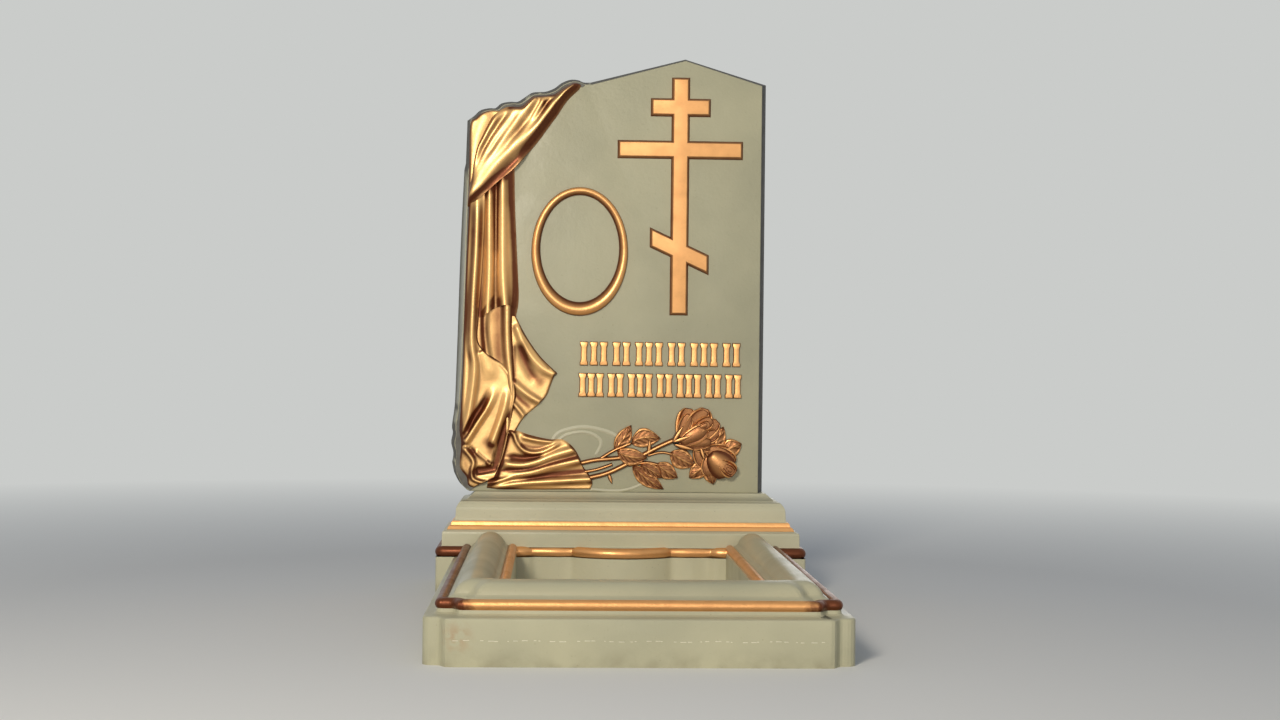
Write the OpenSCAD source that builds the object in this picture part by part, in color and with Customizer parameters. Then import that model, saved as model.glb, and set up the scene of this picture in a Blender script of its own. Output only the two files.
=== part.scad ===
// Grave monument cast in concrete: a stele with relief stands on a moulded plinth,
// and a U-shaped flower bed lies in front of it. +X is right, the front faces -Y.
// The origin is the centre of the whole base, on the ground.

/* [Flower bed] */
// Outer width across the two side rails
bed_w = 750; // [560:10:1000]
// Length from the front panel to the plinth
bed_l = 1000; // [700:10:1400]
// Height of the plain outer panel
bed_panel_h = 83; // [60:1:120]
// Height of the rail's crest above the ground
bed_crest_h = 140; // [128:1:170]
// Width of the wall from its outer face to the planting space
bed_wall = 140; // [130:1:170]
// Radius of the half-round rail
rail_r = 33; // [26:1:36]
// Radius of the painted roll on each side of the rail
bed_roll_r = 9; // [6:0.5:10]
// Distance from the panel's face in to the roll's outer face
bed_ledge = 24; // [16:1:30]
// How far the middle of the front stands ahead of its corners
breakfront = 21; // [8:1:40]
// Width of each set-back front corner
corner_w = 35; // [22:1:60]

/* [Plinth] */
// Width of the plinth at its foot
plinth_w = 830; // [800:10:1200]
// Depth of the plinth at its foot
plinth_d = 280; // [270:5:420]
// Height of the plinth
plinth_h = 224; // [216:1:280]
// Height of the plain body under its roll
body_h = 83; // [60:1:110]
// Radius of the painted roll on the body
plinth_roll_r = 11; // [7:0.5:12]
// Width of the bowed middle of the front
bow_w = 226; // [140:2:280]
// How far the bow swells ahead of the side panels
bow_out = 45; // [20:1:70]
// Width of each sunk panel beside the bow
panel_w = 94; // [60:2:110]
// How deep the sunk panels lie behind the body's face
panel_in = 12; // [4:1:18]

/* [Stele] */
// Height of the front face at its peak
stele_h = 990; // [800:10:1300]
// Thickness of the slab
stele_t = 80; // [60:1:84]
// Distance from the middle to the straight right edge
stele_right = 315; // [290:1:325]
// Distance of the peak right of the middle
peak_x = 138; // [60:1:200]
// Height of the right shoulder below the peak
shoulder_drop = 55; // [20:1:90]
// How much larger the back outline is on each side
draft = 16; // [4:1:24]
// Distance from the plinth's face back to the stele's face
stele_set = 92; // [84:1:100]

/* [Relief] */
// Height of the cross over the slab
cross_rise = 10; // [4:1:16]
// Length of the upright of the cross
cross_h = 545; // [420:5:600]
// Width of the upright and bars
bar_w = 42; // [26:1:56]
// Distance of the cross right of the middle
cross_x = 128; // [110:1:140]
// Gap from the peak down to the cross
cross_drop = 39; // [30:1:90]
// Clear width of the oval medallion seat
oval_w = 180; // [120:5:200]
// Clear height of the oval medallion seat
oval_h = 244; // [160:5:260]
// Width of the oval frame at its top
frame_w = 20; // [12:1:30]
// Extra width of the frame at its bottom
frame_swell = 14; // [0:1:20]
// Distance of the oval left of the middle
oval_x = 100; // [90:1:110]
// Height of the oval's centre on the stele
oval_z = 556; // [520:1:640]
// Height of the thickest fold over the slab
fold_rise = 30; // [14:1:40]
// Height of one row of strokes
stroke_h = 54; // [30:1:60]
// Height of the strokes over the slab
stroke_rise = 6; // [3:1:10]
// Distance from one row of strokes to the next
row_pitch = 72; // [60:1:90]
// Gap from the cross down to the first row of strokes
row_gap = 63; // [20:1:90]

/* [Hidden] */

concrete = [0.69, 0.69, 0.60];
copper = [0.78, 0.50, 0.27];
overlap = 2;                                  // how deep relief is rooted in the slab
drawn_h = 990;                                // the height that the outline's points are drawn at
total_d = bed_l + plinth_d;
bed_front = -total_d / 2;
plinth_front = bed_front + bed_l;
stele_face = plinth_front + stele_set;
row_z = stele_h - cross_drop - cross_h - row_gap - stroke_h;

// ---- shared curves and shapes ----

// A point on the smooth curve through p, at u from 0 to 1
function curve_at(p, u) =
    let (n = len(p) - 1, k = min(floor(u * n), n - 1), f = u * n - k,
         a = p[max(k - 1, 0)], b = p[k], c = p[k + 1], d = p[min(k + 2, n)])
    0.5 * (2 * b + (c - a) * f + (2 * a - 5 * b + 4 * c - d) * f * f
           + (3 * b - a - 3 * c + d) * f * f * f);

function curve(p, steps) = [for (i = [0:steps]) curve_at(p, i / steps)];

// The height of a rounded fold at s, with its crest at c and half-width w
function fold(s, c, w) = let (d = min(abs(s - c) / w, 1)) sqrt(1 - d * d);

// A set of folds, each [crest, half-width, height], joined at their highest
function folds(s, list) = max([for (f = list) f[2] * fold(s, f[0], f[1])]);

// Relief between two curves on the slab: folds run along them, over a flat base
module cloth(left, right, across, along, base, list) {
    l = curve(stretched(left), along);
    r = curve(stretched(right), along);
    wide = across + 1;
    count = wide * (along + 1);
    front = [for (j = [0:along], i = [0:across])
        let (s = i / across, p = l[j] + (r[j] - l[j]) * s,
             edge = min(1, 5 * min(s, 1 - s) + 0.25),
             rise = base * edge + folds(s, list))
        [p[0], -rise, p[1]]];
    back = [for (j = [0:along], i = [0:across])
        let (p = l[j] + (r[j] - l[j]) * i / across) [p[0], overlap, p[1]]];
    quads = [for (j = [0:along - 1], i = [0:across - 1]) j * wide + i];
    rim = concat([for (i = [0:across - 1]) [i, i + 1]],
                 [for (j = [0:along - 1]) [j * wide + across, (j + 1) * wide + across]],
                 [for (i = [across:-1:1]) [along * wide + i, along * wide + i - 1]],
                 [for (j = [along:-1:1]) [j * wide, (j - 1) * wide]]);
    polyhedron(concat(front, back), concat(
        [for (q = quads) [q, q + 1, q + wide + 1]],
        [for (q = quads) [q, q + wide + 1, q + wide]],
        [for (q = quads) [count + q, count + q + wide + 1, count + q + 1]],
        [for (q = quads) [count + q, count + q + wide, count + q + wide + 1]],
        [for (e = rim) [e[0], count + e[1], e[1]]],
        [for (e = rim) [e[0], count + e[0], count + e[1]]]));
}

// ---- flower bed ----

// Section of the wall, from its outer face at 0 to the planting space at bed_wall
module bed_section() {
    crest = (bed_wall + bed_ledge) / 2;
    seat_z = bed_panel_h + 12;
    roll_z = seat_z + bed_roll_r;
    square([bed_wall, bed_panel_h]);
    translate([bed_ledge - 3, 0])
        square([bed_wall - bed_ledge + 3, seat_z]);
    translate([bed_ledge + bed_roll_r, 0])
        square([bed_wall - bed_ledge - 2 * bed_roll_r, roll_z + bed_roll_r]);
    for (u = [bed_ledge + bed_roll_r, bed_wall - bed_roll_r])
        translate([u, roll_z]) circle(bed_roll_r);
    translate([crest, bed_crest_h - rail_r]) circle(rail_r);
}

// The same section with its middle filled level to the other side of the breakfront
module breakfront_section() {
    crest = (bed_wall + bed_ledge) / 2;
    half = bed_w / 2 - corner_w;
    for (side = [0, 1]) mirror([side, 0]) {
        translate([-half, 0]) bed_section();
        translate([-half + crest, 0]) square([half - crest, bed_crest_h]);
    }
}

// A run of the wall along +Y from the origin, its outer face at x = 0
module bed_run(run) {
    translate([0, run, 0]) rotate([90, 0, 0]) linear_extrude(run) bed_section();
}

module flower_bed() {
    corner_y = bed_front + breakfront;
    run = bed_l - breakfront;
    half = bed_w / 2;
    color(concrete) union() {
        for (side = [0, 1]) mirror([side, 0, 0]) difference() {
            translate([-half, corner_y, 0]) bed_run(run);
            translate([-half, corner_y, -1]) linear_extrude(bed_crest_h + 2)
                polygon([[-1, -2], [bed_wall + 1, -2], [bed_wall + 1, bed_wall + 1], [-1, -1]]);
        }
        intersection() {
            translate([half, corner_y, 0]) rotate([0, 0, 90]) bed_run(bed_w);
            translate([0, corner_y, 0]) linear_extrude(bed_crest_h)
                polygon([[-half, 0], [half, 0], [half - bed_wall, bed_wall], [bed_wall - half, bed_wall]]);
        }
        intersection() {
            translate([half, bed_front, 0]) rotate([0, 0, 90]) bed_run(bed_w);
            translate([0, corner_y + bed_wall, 0]) rotate([90, 0, 0])
                linear_extrude(bed_wall + breakfront) breakfront_section();
        }
    }
}

// ---- plinth ----

// One side of the plinth's moulded section: [distance in from the foot, height]
function plinth_edge() = let (z = body_h + 2 * plinth_roll_r, top = plinth_h) [
    [13, 0], [13, z], [17, z + 33], [25, z + 38], [27, z + 43], [33, z + 45], [34, z + 52],
    [40, z + 58], [42, top - 36], [46, top - 26], [52, top - 20], [66, top - 16], [82, top]];

// The whole section across a width, with its foot at 0
module plinth_section(width) {
    edge = plinth_edge();
    polygon(concat(edge, [for (i = [len(edge) - 1:-1:0]) [width - edge[i][0], edge[i][1]]]));
}

// The bow's centre and radius in plan, from its chord and swell
bow_r = (bow_w * bow_w / 4 + bow_out * bow_out) / (2 * bow_out);
bow_y = panel_in - bow_out + bow_r;

// Plan of the body: a rectangle with two sunk panels and the bow, at an offset inwards
module body_plan(inset) {
    niche = bow_w / 2 + panel_w;
    difference() {
        translate([inset - plinth_w / 2, inset])
            square([plinth_w - 2 * inset, plinth_d - 2 * inset]);
        translate([-niche - inset, -1])
            square([2 * (niche + inset), panel_in + inset + 1]);
    }
    intersection() {
        translate([0, bow_y]) circle(bow_r - inset);
        translate([-bow_w / 2, inset - bow_out]) square([bow_w, bow_out + 3 * panel_in]);
    }
}

// The roll that follows the body's front and sides
module body_roll() {
    r = plinth_roll_r;
    niche = bow_w / 2 + panel_w;
    bow_angle = asin(bow_w / 2 / bow_r);
    translate([0, 0, body_h + r]) {
        for (side = [0, 1]) mirror([side, 0, 0]) {
            translate([niche + r, r, 0]) rotate([0, 90, 0])
                cylinder(r = r, h = plinth_w / 2 - niche - 2 * r, $fn = 48);
            translate([bow_w / 2 - r, r + panel_in, 0]) rotate([0, 90, 0])
                cylinder(r = r, h = panel_w + 2 * r, $fn = 48);
            translate([plinth_w / 2 - r, r, 0]) rotate([-90, 0, 0])
                cylinder(r = r, h = plinth_d - 2 * r, $fn = 48);
            translate([plinth_w / 2 - r, r, 0]) sphere(r, $fn = 48);
            translate([plinth_w / 2 - r, plinth_d - r, 0]) sphere(r, $fn = 48);
        }
        translate([0, bow_y, 0]) rotate([0, 0, 270 - bow_angle])
            rotate_extrude(angle = 2 * bow_angle, $fn = 180) translate([bow_r - r, 0]) circle(r, $fn = 48);
        translate([r - plinth_w / 2, plinth_d - r, 0]) rotate([0, 90, 0])
            cylinder(r = r, h = plinth_w - 2 * r, $fn = 48);
    }
}

module plinth() {
    core_z = body_h + 2 * plinth_roll_r;
    color(concrete) translate([0, plinth_front, 0]) union() {
        linear_extrude(body_h) body_plan(0);
        linear_extrude(core_z) body_plan(plinth_roll_r);
        body_roll();
        intersection() {
            translate([-plinth_w / 2, 0, 0]) rotate([90, 0, 90])
                linear_extrude(plinth_w) plinth_section(plinth_d);
            translate([-plinth_w / 2, plinth_d, 0]) rotate([90, 0, 0])
                linear_extrude(plinth_d) plinth_section(plinth_w);
        }
    }
}

// ---- stele ----

// The front outline from the foot of the left edge round to the foot of the right edge
function stele_outline() = concat(
    [[-345, 0], [-362, 14], [-374, 34]],
    curve([[-379, 62], [-379, 125], [-371, 220], [-364, 400], [-360, 600], [-357, 730]] , 8),
    [[-353, 745], [-353, 842], [-338, 853]],
    curve([[-324, 866], [-290, 871], [-277, 882], [-240, 886], [-223, 897], [-208, 906],
           [-176, 909], [-157, 918], [-142, 930], [-122, 937], [-92, 931]], 10),
    [[-76, 932], [peak_x, drawn_h], [stele_right, drawn_h - shoulder_drop], [stele_right, 0]]);

// The outline with its heights stretched to the stele's own height
function stretched(p) = [for (q = p) [q[0], q[1] * stele_h / drawn_h]];

module slab() {
    front = stretched(stele_outline());
    n = len(front);
    mid = [-20, 0.45 * stele_h];
    back = [for (q = front)
        let (d = (q - mid) / norm(q - mid)) [q[0] + draft * d[0], max(0, q[1] + draft * max(0, d[1]))]];
    polyhedron(concat([for (q = front) [q[0], 0, q[1]]], [for (q = back) [q[0], stele_t, q[1]]],
                      [[mid[0], 0, mid[1]], [mid[0], stele_t, mid[1]]]), concat(
        [for (i = [0:n - 1]) [i, (i + 1) % n, 2 * n]],
        [for (i = [0:n - 1]) [n + (i + 1) % n, n + i, 2 * n + 1]],
        [for (i = [0:n - 1]) [i, n + i, (i + 1) % n]],
        [for (i = [0:n - 1]) [n + i, n + (i + 1) % n, (i + 1) % n]]));
}

// A flat figure drawn in the stele's X and Z, raised off its face
module raised(rise) {
    translate([0, overlap, 0]) rotate([90, 0, 0]) linear_extrude(rise + overlap) children();
}

// Three-bar cross: a short bar, a long bar and a slanting foot bar
module cross() {
    top = stele_h - cross_drop;
    short_bar = 138;
    long_bar = 288;
    foot_run = 136;
    foot_tilt = 25;
    foot_rise = foot_run * tan(foot_tilt);
    foot_z = top - 0.73 * cross_h;
    raised(cross_rise) {
        translate([cross_x - bar_w / 2, top - cross_h]) square([bar_w, cross_h]);
        translate([cross_x - short_bar / 2, top - 0.165 * cross_h]) square([short_bar, bar_w]);
        translate([cross_x - long_bar / 2, top - 0.343 * cross_h]) square([long_bar, bar_w]);
        translate([cross_x, foot_z]) polygon([
            [-foot_run / 2, foot_rise / 2 - bar_w / 2], [foot_run / 2, -foot_rise / 2 - bar_w / 2],
            [foot_run / 2, -foot_rise / 2 + bar_w / 2], [-foot_run / 2, foot_rise / 2 + bar_w / 2]]);
    }
}

// Oval frame of round section, thicker towards its bottom
module oval_frame() {
    steps = 64;
    ring = 8;
    function width_at(a) = frame_w + frame_swell * pow((1 - sin(a)) / 2, 3);
    points = [for (i = [0:steps - 1], j = [0:ring - 1])
        let (a = 360 * i / steps, b = 180 * j / (ring - 1), w = width_at(a),
             out = w / 2 * (1 - cos(b)), dir = [oval_h * cos(a), oval_w * sin(a)],
             nrm = dir / norm(dir))
        [oval_w / 2 * cos(a) + nrm[0] * out, overlap - (overlap + 0.55 * w) * sin(b),
         oval_h / 2 * sin(a) + nrm[1] * out]];
    function id(i, j) = (i % steps) * ring + j % ring;
    translate([-oval_x, 0, oval_z]) polyhedron(points, concat(
        [for (i = [0:steps - 1], j = [0:ring - 1]) [id(i, j), id(i + 1, j), id(i + 1, j + 1)]],
        [for (i = [0:steps - 1], j = [0:ring - 1]) [id(i, j), id(i + 1, j + 1), id(i, j + 1)]]));
}

// A row of upright strokes with flared ends, in words of a few strokes each
module stroke_row(x0, x1, z, count) {
    pitch = (x1 - x0) / count;
    raised(stroke_rise) for (i = [0:count - 1])
        translate([x0 + (i + 0.5) * pitch, z]) polygon([
            [-7, 0], [7, 0], [4, 9], [4, stroke_h - 9], [7, stroke_h], [-7, stroke_h],
            [-4, stroke_h - 9], [-4, 9]]);
}

// The hanging cloth: a swag across the corner, the fall on the left, the turned-out
// corner in the middle and the end that lies along the foot
module drapery() {
    r = fold_rise;
    cloth([[-355, 842], [-352, 780], [-351, 705]], [[-286, 866], [-308, 815], [-336, 730]],
          3, 4, 0.3 * r, [[0.6, 0.6, 0.1 * r]]);
    cloth([[-357, 700], [-358, 538], [-363, 378], [-367, 207], [-370, 120], [-362, 60]],
          [[-316, 700], [-318, 549], [-321, 400], [-316, 318], [-256, 270], [-241, 220],
           [-262, 140], [-285, 60]], 12, 18, 0.35 * r,
          [[0.3, 0.34, 0.4 * r], [0.8, 0.24, 0.34 * r]]);
    cloth([[-325, 690], [-325, 540], [-322, 430]], [[-254, 740], [-247, 590], [-238, 416]],
          12, 8, 0.35 * r, [[0.3, 0.2, 0.3 * r], [0.68, 0.26, 0.36 * r]]);
    cloth([[-322, 430], [-324, 370], [-300, 290]], [[-243, 440], [-240, 340], [-241, 240]],
          8, 6, 0.2 * r, [[0.3, 0.2, 0.15 * r], [0.72, 0.2, 0.2 * r]]);
    cloth([[-246, 396], [-246, 300], [-245, 220], [-241, 150]],
          [[-243, 396], [-205, 328], [-151, 270], [-170, 218], [-238, 150]],
          8, 12, 0.15 * r, [[0.35, 0.25, 0.2 * r], [0.8, 0.22, 0.3 * r]]);
    cloth([[-350, 22], [-280, 8], [-170, 8], [-70, 8]],
          [[-268, 126], [-215, 131], [-155, 119], [-108, 100]], 14, 12, 0.25 * r,
          [[0.12, 0.16, 0.35 * r], [0.45, 0.2, 0.4 * r], [0.8, 0.2, 0.25 * r]]);
    cloth([[-303, 860], [-330, 800], [-346, 735], [-353, 690], [-357, 650]],
          [[-104, 928], [-145, 872], [-192, 800], [-262, 726], [-340, 658]], 16, 12, 0.3 * r,
          [[0.14, 0.16, 0.45 * r], [0.4, 0.16, 0.5 * r], [0.74, 0.26, 0.7 * r]]);
    hull() {
        translate([-335, -2, 60]) scale([26, 16, 40]) sphere(1, $fn = 16);
        translate([-318, -2, 34]) scale([30, 15, 22]) sphere(1, $fn = 16);
    }
}

// A pointed leaf with a raised middle, its stalk at the origin
module leaf(x, z, size, turn) {
    w = 0.3 * size;
    translate([x, 0, z]) rotate([0, -turn, 0]) hull() {
        translate([0, overlap, 0]) rotate([90, 0, 0]) linear_extrude(overlap + 3)
            polygon([[0, 0], [0.25 * size, 0.8 * w], [0.6 * size, w], [size, 0],
                     [0.6 * size, -w], [0.25 * size, -0.8 * w]]);
        translate([0.12 * size, -10, 0]) sphere(1.5, $fn = 8);
        translate([0.7 * size, -11, 0]) sphere(1.5, $fn = 8);
    }
}

// A stem between points [x, z], tapering a little to its tip
module stem(points, r) {
    for (i = [0:len(points) - 2]) hull() {
        translate([points[i][0], -r, points[i][1]]) sphere(r, $fn = 12);
        translate([points[i + 1][0], -r, points[i + 1][1]]) sphere(0.9 * r, $fn = 12);
    }
}

// An open rose: petals set round a raised heart by the golden angle, smaller and higher
// towards the middle, on a round bed
module bloom(x, z, size, turn) {
    petals = 8;
    translate([x, 0, z]) rotate([0, -turn, 0]) {
        raised(7) circle(0.5 * size, $fn = 24);
        for (i = [0:petals - 1]) let (inner = i / petals, wide = (0.3 - 0.13 * inner) * size)
            rotate([0, 137.5 * i, 0]) translate([(0.3 - 0.26 * inner) * size, -5 - 9 * inner, 0])
                rotate([0, 0, 24]) scale([0.8 * wide, 7 + 5 * inner, wide]) sphere(1, $fn = 14);
    }
}

module roses() {
    stem([[-90, 62], [-40, 78], [0, 82], [40, 100], [118, 126]], 6);
    stem([[-70, 34], [-25, 44], [20, 68], [60, 90], [118, 122]], 6.5);
    stem([[20, 68], [60, 66], [100, 88]], 5);
    for (l = [[-5, 96, 62, 108], [8, 102, 62, 58], [26, 112, 70, 28], [30, 76, 62, 175],
              [20, 72, 68, -30], [50, 76, 68, -18], [40, 70, 60, -62], [112, 104, 58, -35],
              [175, 92, 58, -60], [230, 118, 48, 2], [205, 128, 50, 58], [190, 70, 46, -118]])
        leaf(l[0], l[1], l[2], l[3]);
    bloom(168, 150, 84, 40);
    bloom(214, 70, 80, -40);
}

module stele() {
    color(copper) translate([0, stele_face, plinth_h]) {
        slab();
        cross();
        oval_frame();
        stroke_row(-100, 274, row_z, 15);
        stroke_row(-100, 276, row_z - row_pitch, 17);
        drapery();
        roses();
    }
}

stele();
plinth();
flower_bed();
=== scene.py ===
"""Grave monument: a stele with copper-painted relief on a moulded plinth, and a flower bed in front.

Relief is written in millimetres on a flat face: across from the middle, up from the face's foot and out from the
face. Meshes are in metres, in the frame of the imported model.
"""
import logging
import math
from dataclasses import dataclass
from enum import Enum
from typing import Callable, ClassVar, Iterable, Sequence

import bmesh
import bpy
import numpy as np
from bmesh.types import BMEdge, BMesh, BMFace, BMLayerCollection, BMLayerItem, BMVert
from bpy.types import ID, Material, Node, NodeSocket, NodeTree, Object
from mathutils import Matrix, Vector


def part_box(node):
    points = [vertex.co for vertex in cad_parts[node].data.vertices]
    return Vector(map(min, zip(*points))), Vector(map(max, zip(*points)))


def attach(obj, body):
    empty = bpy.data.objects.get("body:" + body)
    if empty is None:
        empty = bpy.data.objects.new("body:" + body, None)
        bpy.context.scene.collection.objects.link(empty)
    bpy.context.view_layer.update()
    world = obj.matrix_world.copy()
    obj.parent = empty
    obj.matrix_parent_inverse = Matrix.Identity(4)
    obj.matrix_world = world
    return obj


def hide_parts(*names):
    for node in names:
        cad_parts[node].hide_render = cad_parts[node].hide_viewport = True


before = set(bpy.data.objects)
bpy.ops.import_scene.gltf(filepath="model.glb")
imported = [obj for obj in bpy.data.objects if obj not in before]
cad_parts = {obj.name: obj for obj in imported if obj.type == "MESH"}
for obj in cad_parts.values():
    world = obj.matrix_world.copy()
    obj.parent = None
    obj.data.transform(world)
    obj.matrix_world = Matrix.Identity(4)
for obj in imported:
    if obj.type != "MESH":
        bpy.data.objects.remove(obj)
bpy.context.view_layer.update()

MM = 0.001
BODY = "root"
ROOT_DEPTH = 3.0        # how deep relief is rooted behind its face, in mm
FOLD_SPREAD = 1.3       # how far a fold's soft foot runs out, as a share of its half-width
WIDE_ROLL = 10.0        # an edge that rounds down over more than this slopes like a wall, in mm
SHADE_AND_TARNISH = "shade_and_tarnish"       # point attribute: painted shade and tarnish of the copper, 0 on crests, 1 on flanks and in hollows
GREY_CEMENT = "grey_share"           # point attribute: 1 where the casting is darker, rough grey cement
ORDER = "order"         # point attribute: a point's place in its section or plan
WELD = 0.05 * MM        # points that lie closer than this are merged, in metres
FOLD_SAMPLES = 28       # samples along the crest of a fold
EDGE_SAMPLES = 60       # samples along the edge of a patch
LOG = logging.getLogger("grave_monument")

Point = tuple[float, float]
Place = tuple[float, float, float]
Colour = tuple[float, float, float, float]
Path = Sequence[Point]


class Slot(Enum):
    """The record's material slots."""

    ENAMEL = "enamelled_concrete"
    COPPER = "copper_paint"


# ---------------------------------------------------------------- paths and heights


def smooth_path(points: Path, count: int) -> np.ndarray:
    """A smooth curve through a few points.

    Args:
        points: the points that it passes through.
        count: how many samples it gets.

    Returns:
        The samples, one row each.
    """
    p = np.array(points, float)
    last = len(p) - 1
    u = np.linspace(0, last, count)
    k = np.minimum(u.astype(int), last - 1)
    f = (u - k)[:, None]
    a, b, c, d = p[np.maximum(k - 1, 0)], p[k], p[k + 1], p[np.minimum(k + 2, last)]
    return 0.5 * (2 * b + (c - a) * f + (2 * a - 5 * b + 4 * c - d) * f**2 + (3 * b - a - 3 * c + d) * f**3)


def nearest(points: np.ndarray, path: np.ndarray) -> tuple[np.ndarray, np.ndarray]:
    """How far points lie from a path, and where along it, from 0 to 1.

    Args:
        points: the points, one row each.
        path: the path's samples, one row each.

    Returns:
        The distances and the places.
    """
    start, step = path[:-1], np.diff(path, axis=0)
    rel = points[:, None] - start[None]
    t = np.clip((rel * step).sum(2) / np.maximum((step * step).sum(1), 1e-9), 0, 1)
    gap = np.linalg.norm(rel - t[..., None] * step, axis=2)
    k = gap.argmin(1)
    rows = np.arange(len(points))
    return gap[rows, k], (k + t[rows, k]) / len(start)


def blurred(grid: np.ndarray, reach: int) -> np.ndarray:
    """A grid of numbers with each one replaced by the mean around it.

    Args:
        grid: the numbers.
        reach: how many cells to each side count.

    Returns:
        The softened grid.
    """
    for axis in (0, 1):
        pad = [(reach, reach) if a == axis else (0, 0) for a in (0, 1)]
        total = np.cumsum(np.pad(grid, pad, mode="edge"), axis=axis)
        zero = np.zeros_like(np.take(total, [0], axis=axis))
        total = np.concatenate([zero, total], axis=axis)
        size, width = grid.shape[axis], 2 * reach + 1
        grid = (np.take(total, range(width, width + size), axis=axis) - np.take(total, range(size), axis=axis)) / width
    return grid


def ramp(value: np.ndarray, low: float, high: float) -> np.ndarray:
    """A smooth step from 0 at low to 1 at high."""
    t = np.clip((value - low) / (high - low), 0, 1)
    return t * t * (3 - 2 * t)


def beside(line: np.ndarray, reach: float) -> tuple[np.ndarray, np.ndarray]:
    """The lines that run so far to the left and to the right of a line.

    Args:
        line: the line's samples, one row each.
        reach: how far out they run.

    Returns:
        The left line and the right line.
    """
    run = np.gradient(line, axis=0)
    away = np.stack([-run[:, 1], run[:, 0]], 1) / np.linalg.norm(run, axis=1)[:, None] * reach
    return line + away, line - away


@dataclass(frozen=True)
class Fold:
    """A ridge or a groove along a smooth path, in millimetres.

    Attributes:
        path: the line of its crest.
        width: its half-width at the path's two ends.
        height: its height at the path's two ends.
        fade: share of its length over which it rises at its start and sinks at its end.
    """

    path: Path
    width: tuple[float, float]
    height: tuple[float, float]
    fade: tuple[float, float] = (0.0, 0.0)

    def rise(self, points: np.ndarray) -> np.ndarray:
        """Its height at each point."""
        gap, where = nearest(points, smooth_path(self.path, FOLD_SAMPLES))
        half = FOLD_SPREAD * (self.width[0] + (self.width[1] - self.width[0]) * where)
        top = self.height[0] + (self.height[1] - self.height[0]) * where
        for share, place in zip(self.fade, (where, 1 - where)):
            if share:
                top = top * ramp(place, 0, share)
        return top * (0.5 + 0.5 * np.cos(np.pi * np.clip(gap / half, 0, 1)))


@dataclass(frozen=True)
class Patch:
    """A raised patch between two edge curves, shaped by folds.

    Attributes:
        left: one edge, from its start to its end.
        right: the other edge, run the same way.
        base: height between the folds.
        ridges: folds that stand up.
        grooves: folds that cut in.
        rolls: how far in from the left, right, first and last edges the patch rounds down, or 0.
        cells: how many cells across and along.
        foot: height that is left at a rounded edge.
        least: the least height between the folds.
        soft: how many cells its height is blurred over.
        tarnish: how much browner it is than other paint, from 0 to 1.
        shade_bands: bands of painted shade, where the paint is darkened to brown, with the share of brown as their
            height.
        lips: folds that lift a rounded edge off the face.
    """

    left: Path
    right: Path
    base: float
    ridges: tuple[Fold, ...] = ()
    grooves: tuple[Fold, ...] = ()
    rolls: tuple[float, float, float, float] = (6, 6, 0, 0)
    cells: tuple[int, int] = (40, 80)
    foot: float = 1.0
    least: float = 2.0
    soft: int = 0
    tarnish: float = 0.0
    shade_bands: tuple[Fold, ...] = ()
    lips: tuple[Fold, ...] = ()

    def edges(self, count: int) -> tuple[np.ndarray, np.ndarray]:
        """Samples of the left and right edges."""
        return smooth_path(self.left, count), smooth_path(self.right, count)

    def bright(self, points: np.ndarray, s: np.ndarray) -> np.ndarray:
        """How much painted highlight lightens the paint, from 0 to 1: a little along the edge of a wide roll.

        Args:
            points: the points on the face.
            s: their places across, from 0 to 1.

        Returns:
            The shares.
        """
        share = np.zeros(len(s))
        for roll, edge in zip(self.rolls, self.edges(EDGE_SAMPLES)):
            if roll > WIDE_ROLL:
                # Painted highlight: a thin pale line inside the shaded flank of a wide roll.
                share = np.maximum(share, 0.12 * (1 - ramp(nearest(points, edge)[0] / roll, 0.1, 0.42)))
        return share

    def stain(self, points: np.ndarray) -> np.ndarray:
        """How brown the paint is at each point, apart from its slopes and hollows: its tarnish, its painted shade
        bands, and painted shade down the flank of each wide roll.
        """
        bands = [fold.rise(points) for fold in self.shade_bands]
        # Painted shade down the flank of each wide roll.
        for roll, edge in zip(self.rolls, self.edges(EDGE_SAMPLES)):
            if roll > WIDE_ROLL:
                bands.append(0.92 * (1 - ramp(nearest(points, edge)[0] / roll, 0.5, 1.2)))
        return self.tarnish + (np.max(bands, axis=0) if bands else 0.0)

    def height(self, points: np.ndarray, s: np.ndarray, t: np.ndarray) -> np.ndarray:
        """The patch's height at each point.

        Args:
            points: the points on the face.
            s: their places across, from 0 to 1.
            t: their places along, from 0 to 1.

        Returns:
            Heights out from the face.
        """
        swell = sum((fold.rise(points) ** 3 for fold in self.ridges), np.zeros(len(points))) ** (1 / 3)
        cut = sum((fold.rise(points) for fold in self.grooves), np.zeros(len(points)))
        full = np.maximum(self.base + swell - cut, self.least)
        left, right = self.edges(EDGE_SAMPLES)
        ends = (left, right, np.array([left[0], right[0]]), np.array([left[-1], right[-1]]))
        foot = self.foot + sum((fold.rise(points) for fold in self.lips), np.zeros(len(points)))
        for roll, edge in zip(self.rolls, ends):
            if roll:
                inward = np.clip(nearest(points, edge)[0] / roll, 0, 1)
                share = inward if roll > WIDE_ROLL else np.sqrt(1 - (1 - inward) ** 2)
                full = foot + (full - foot) * share
        return full


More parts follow.
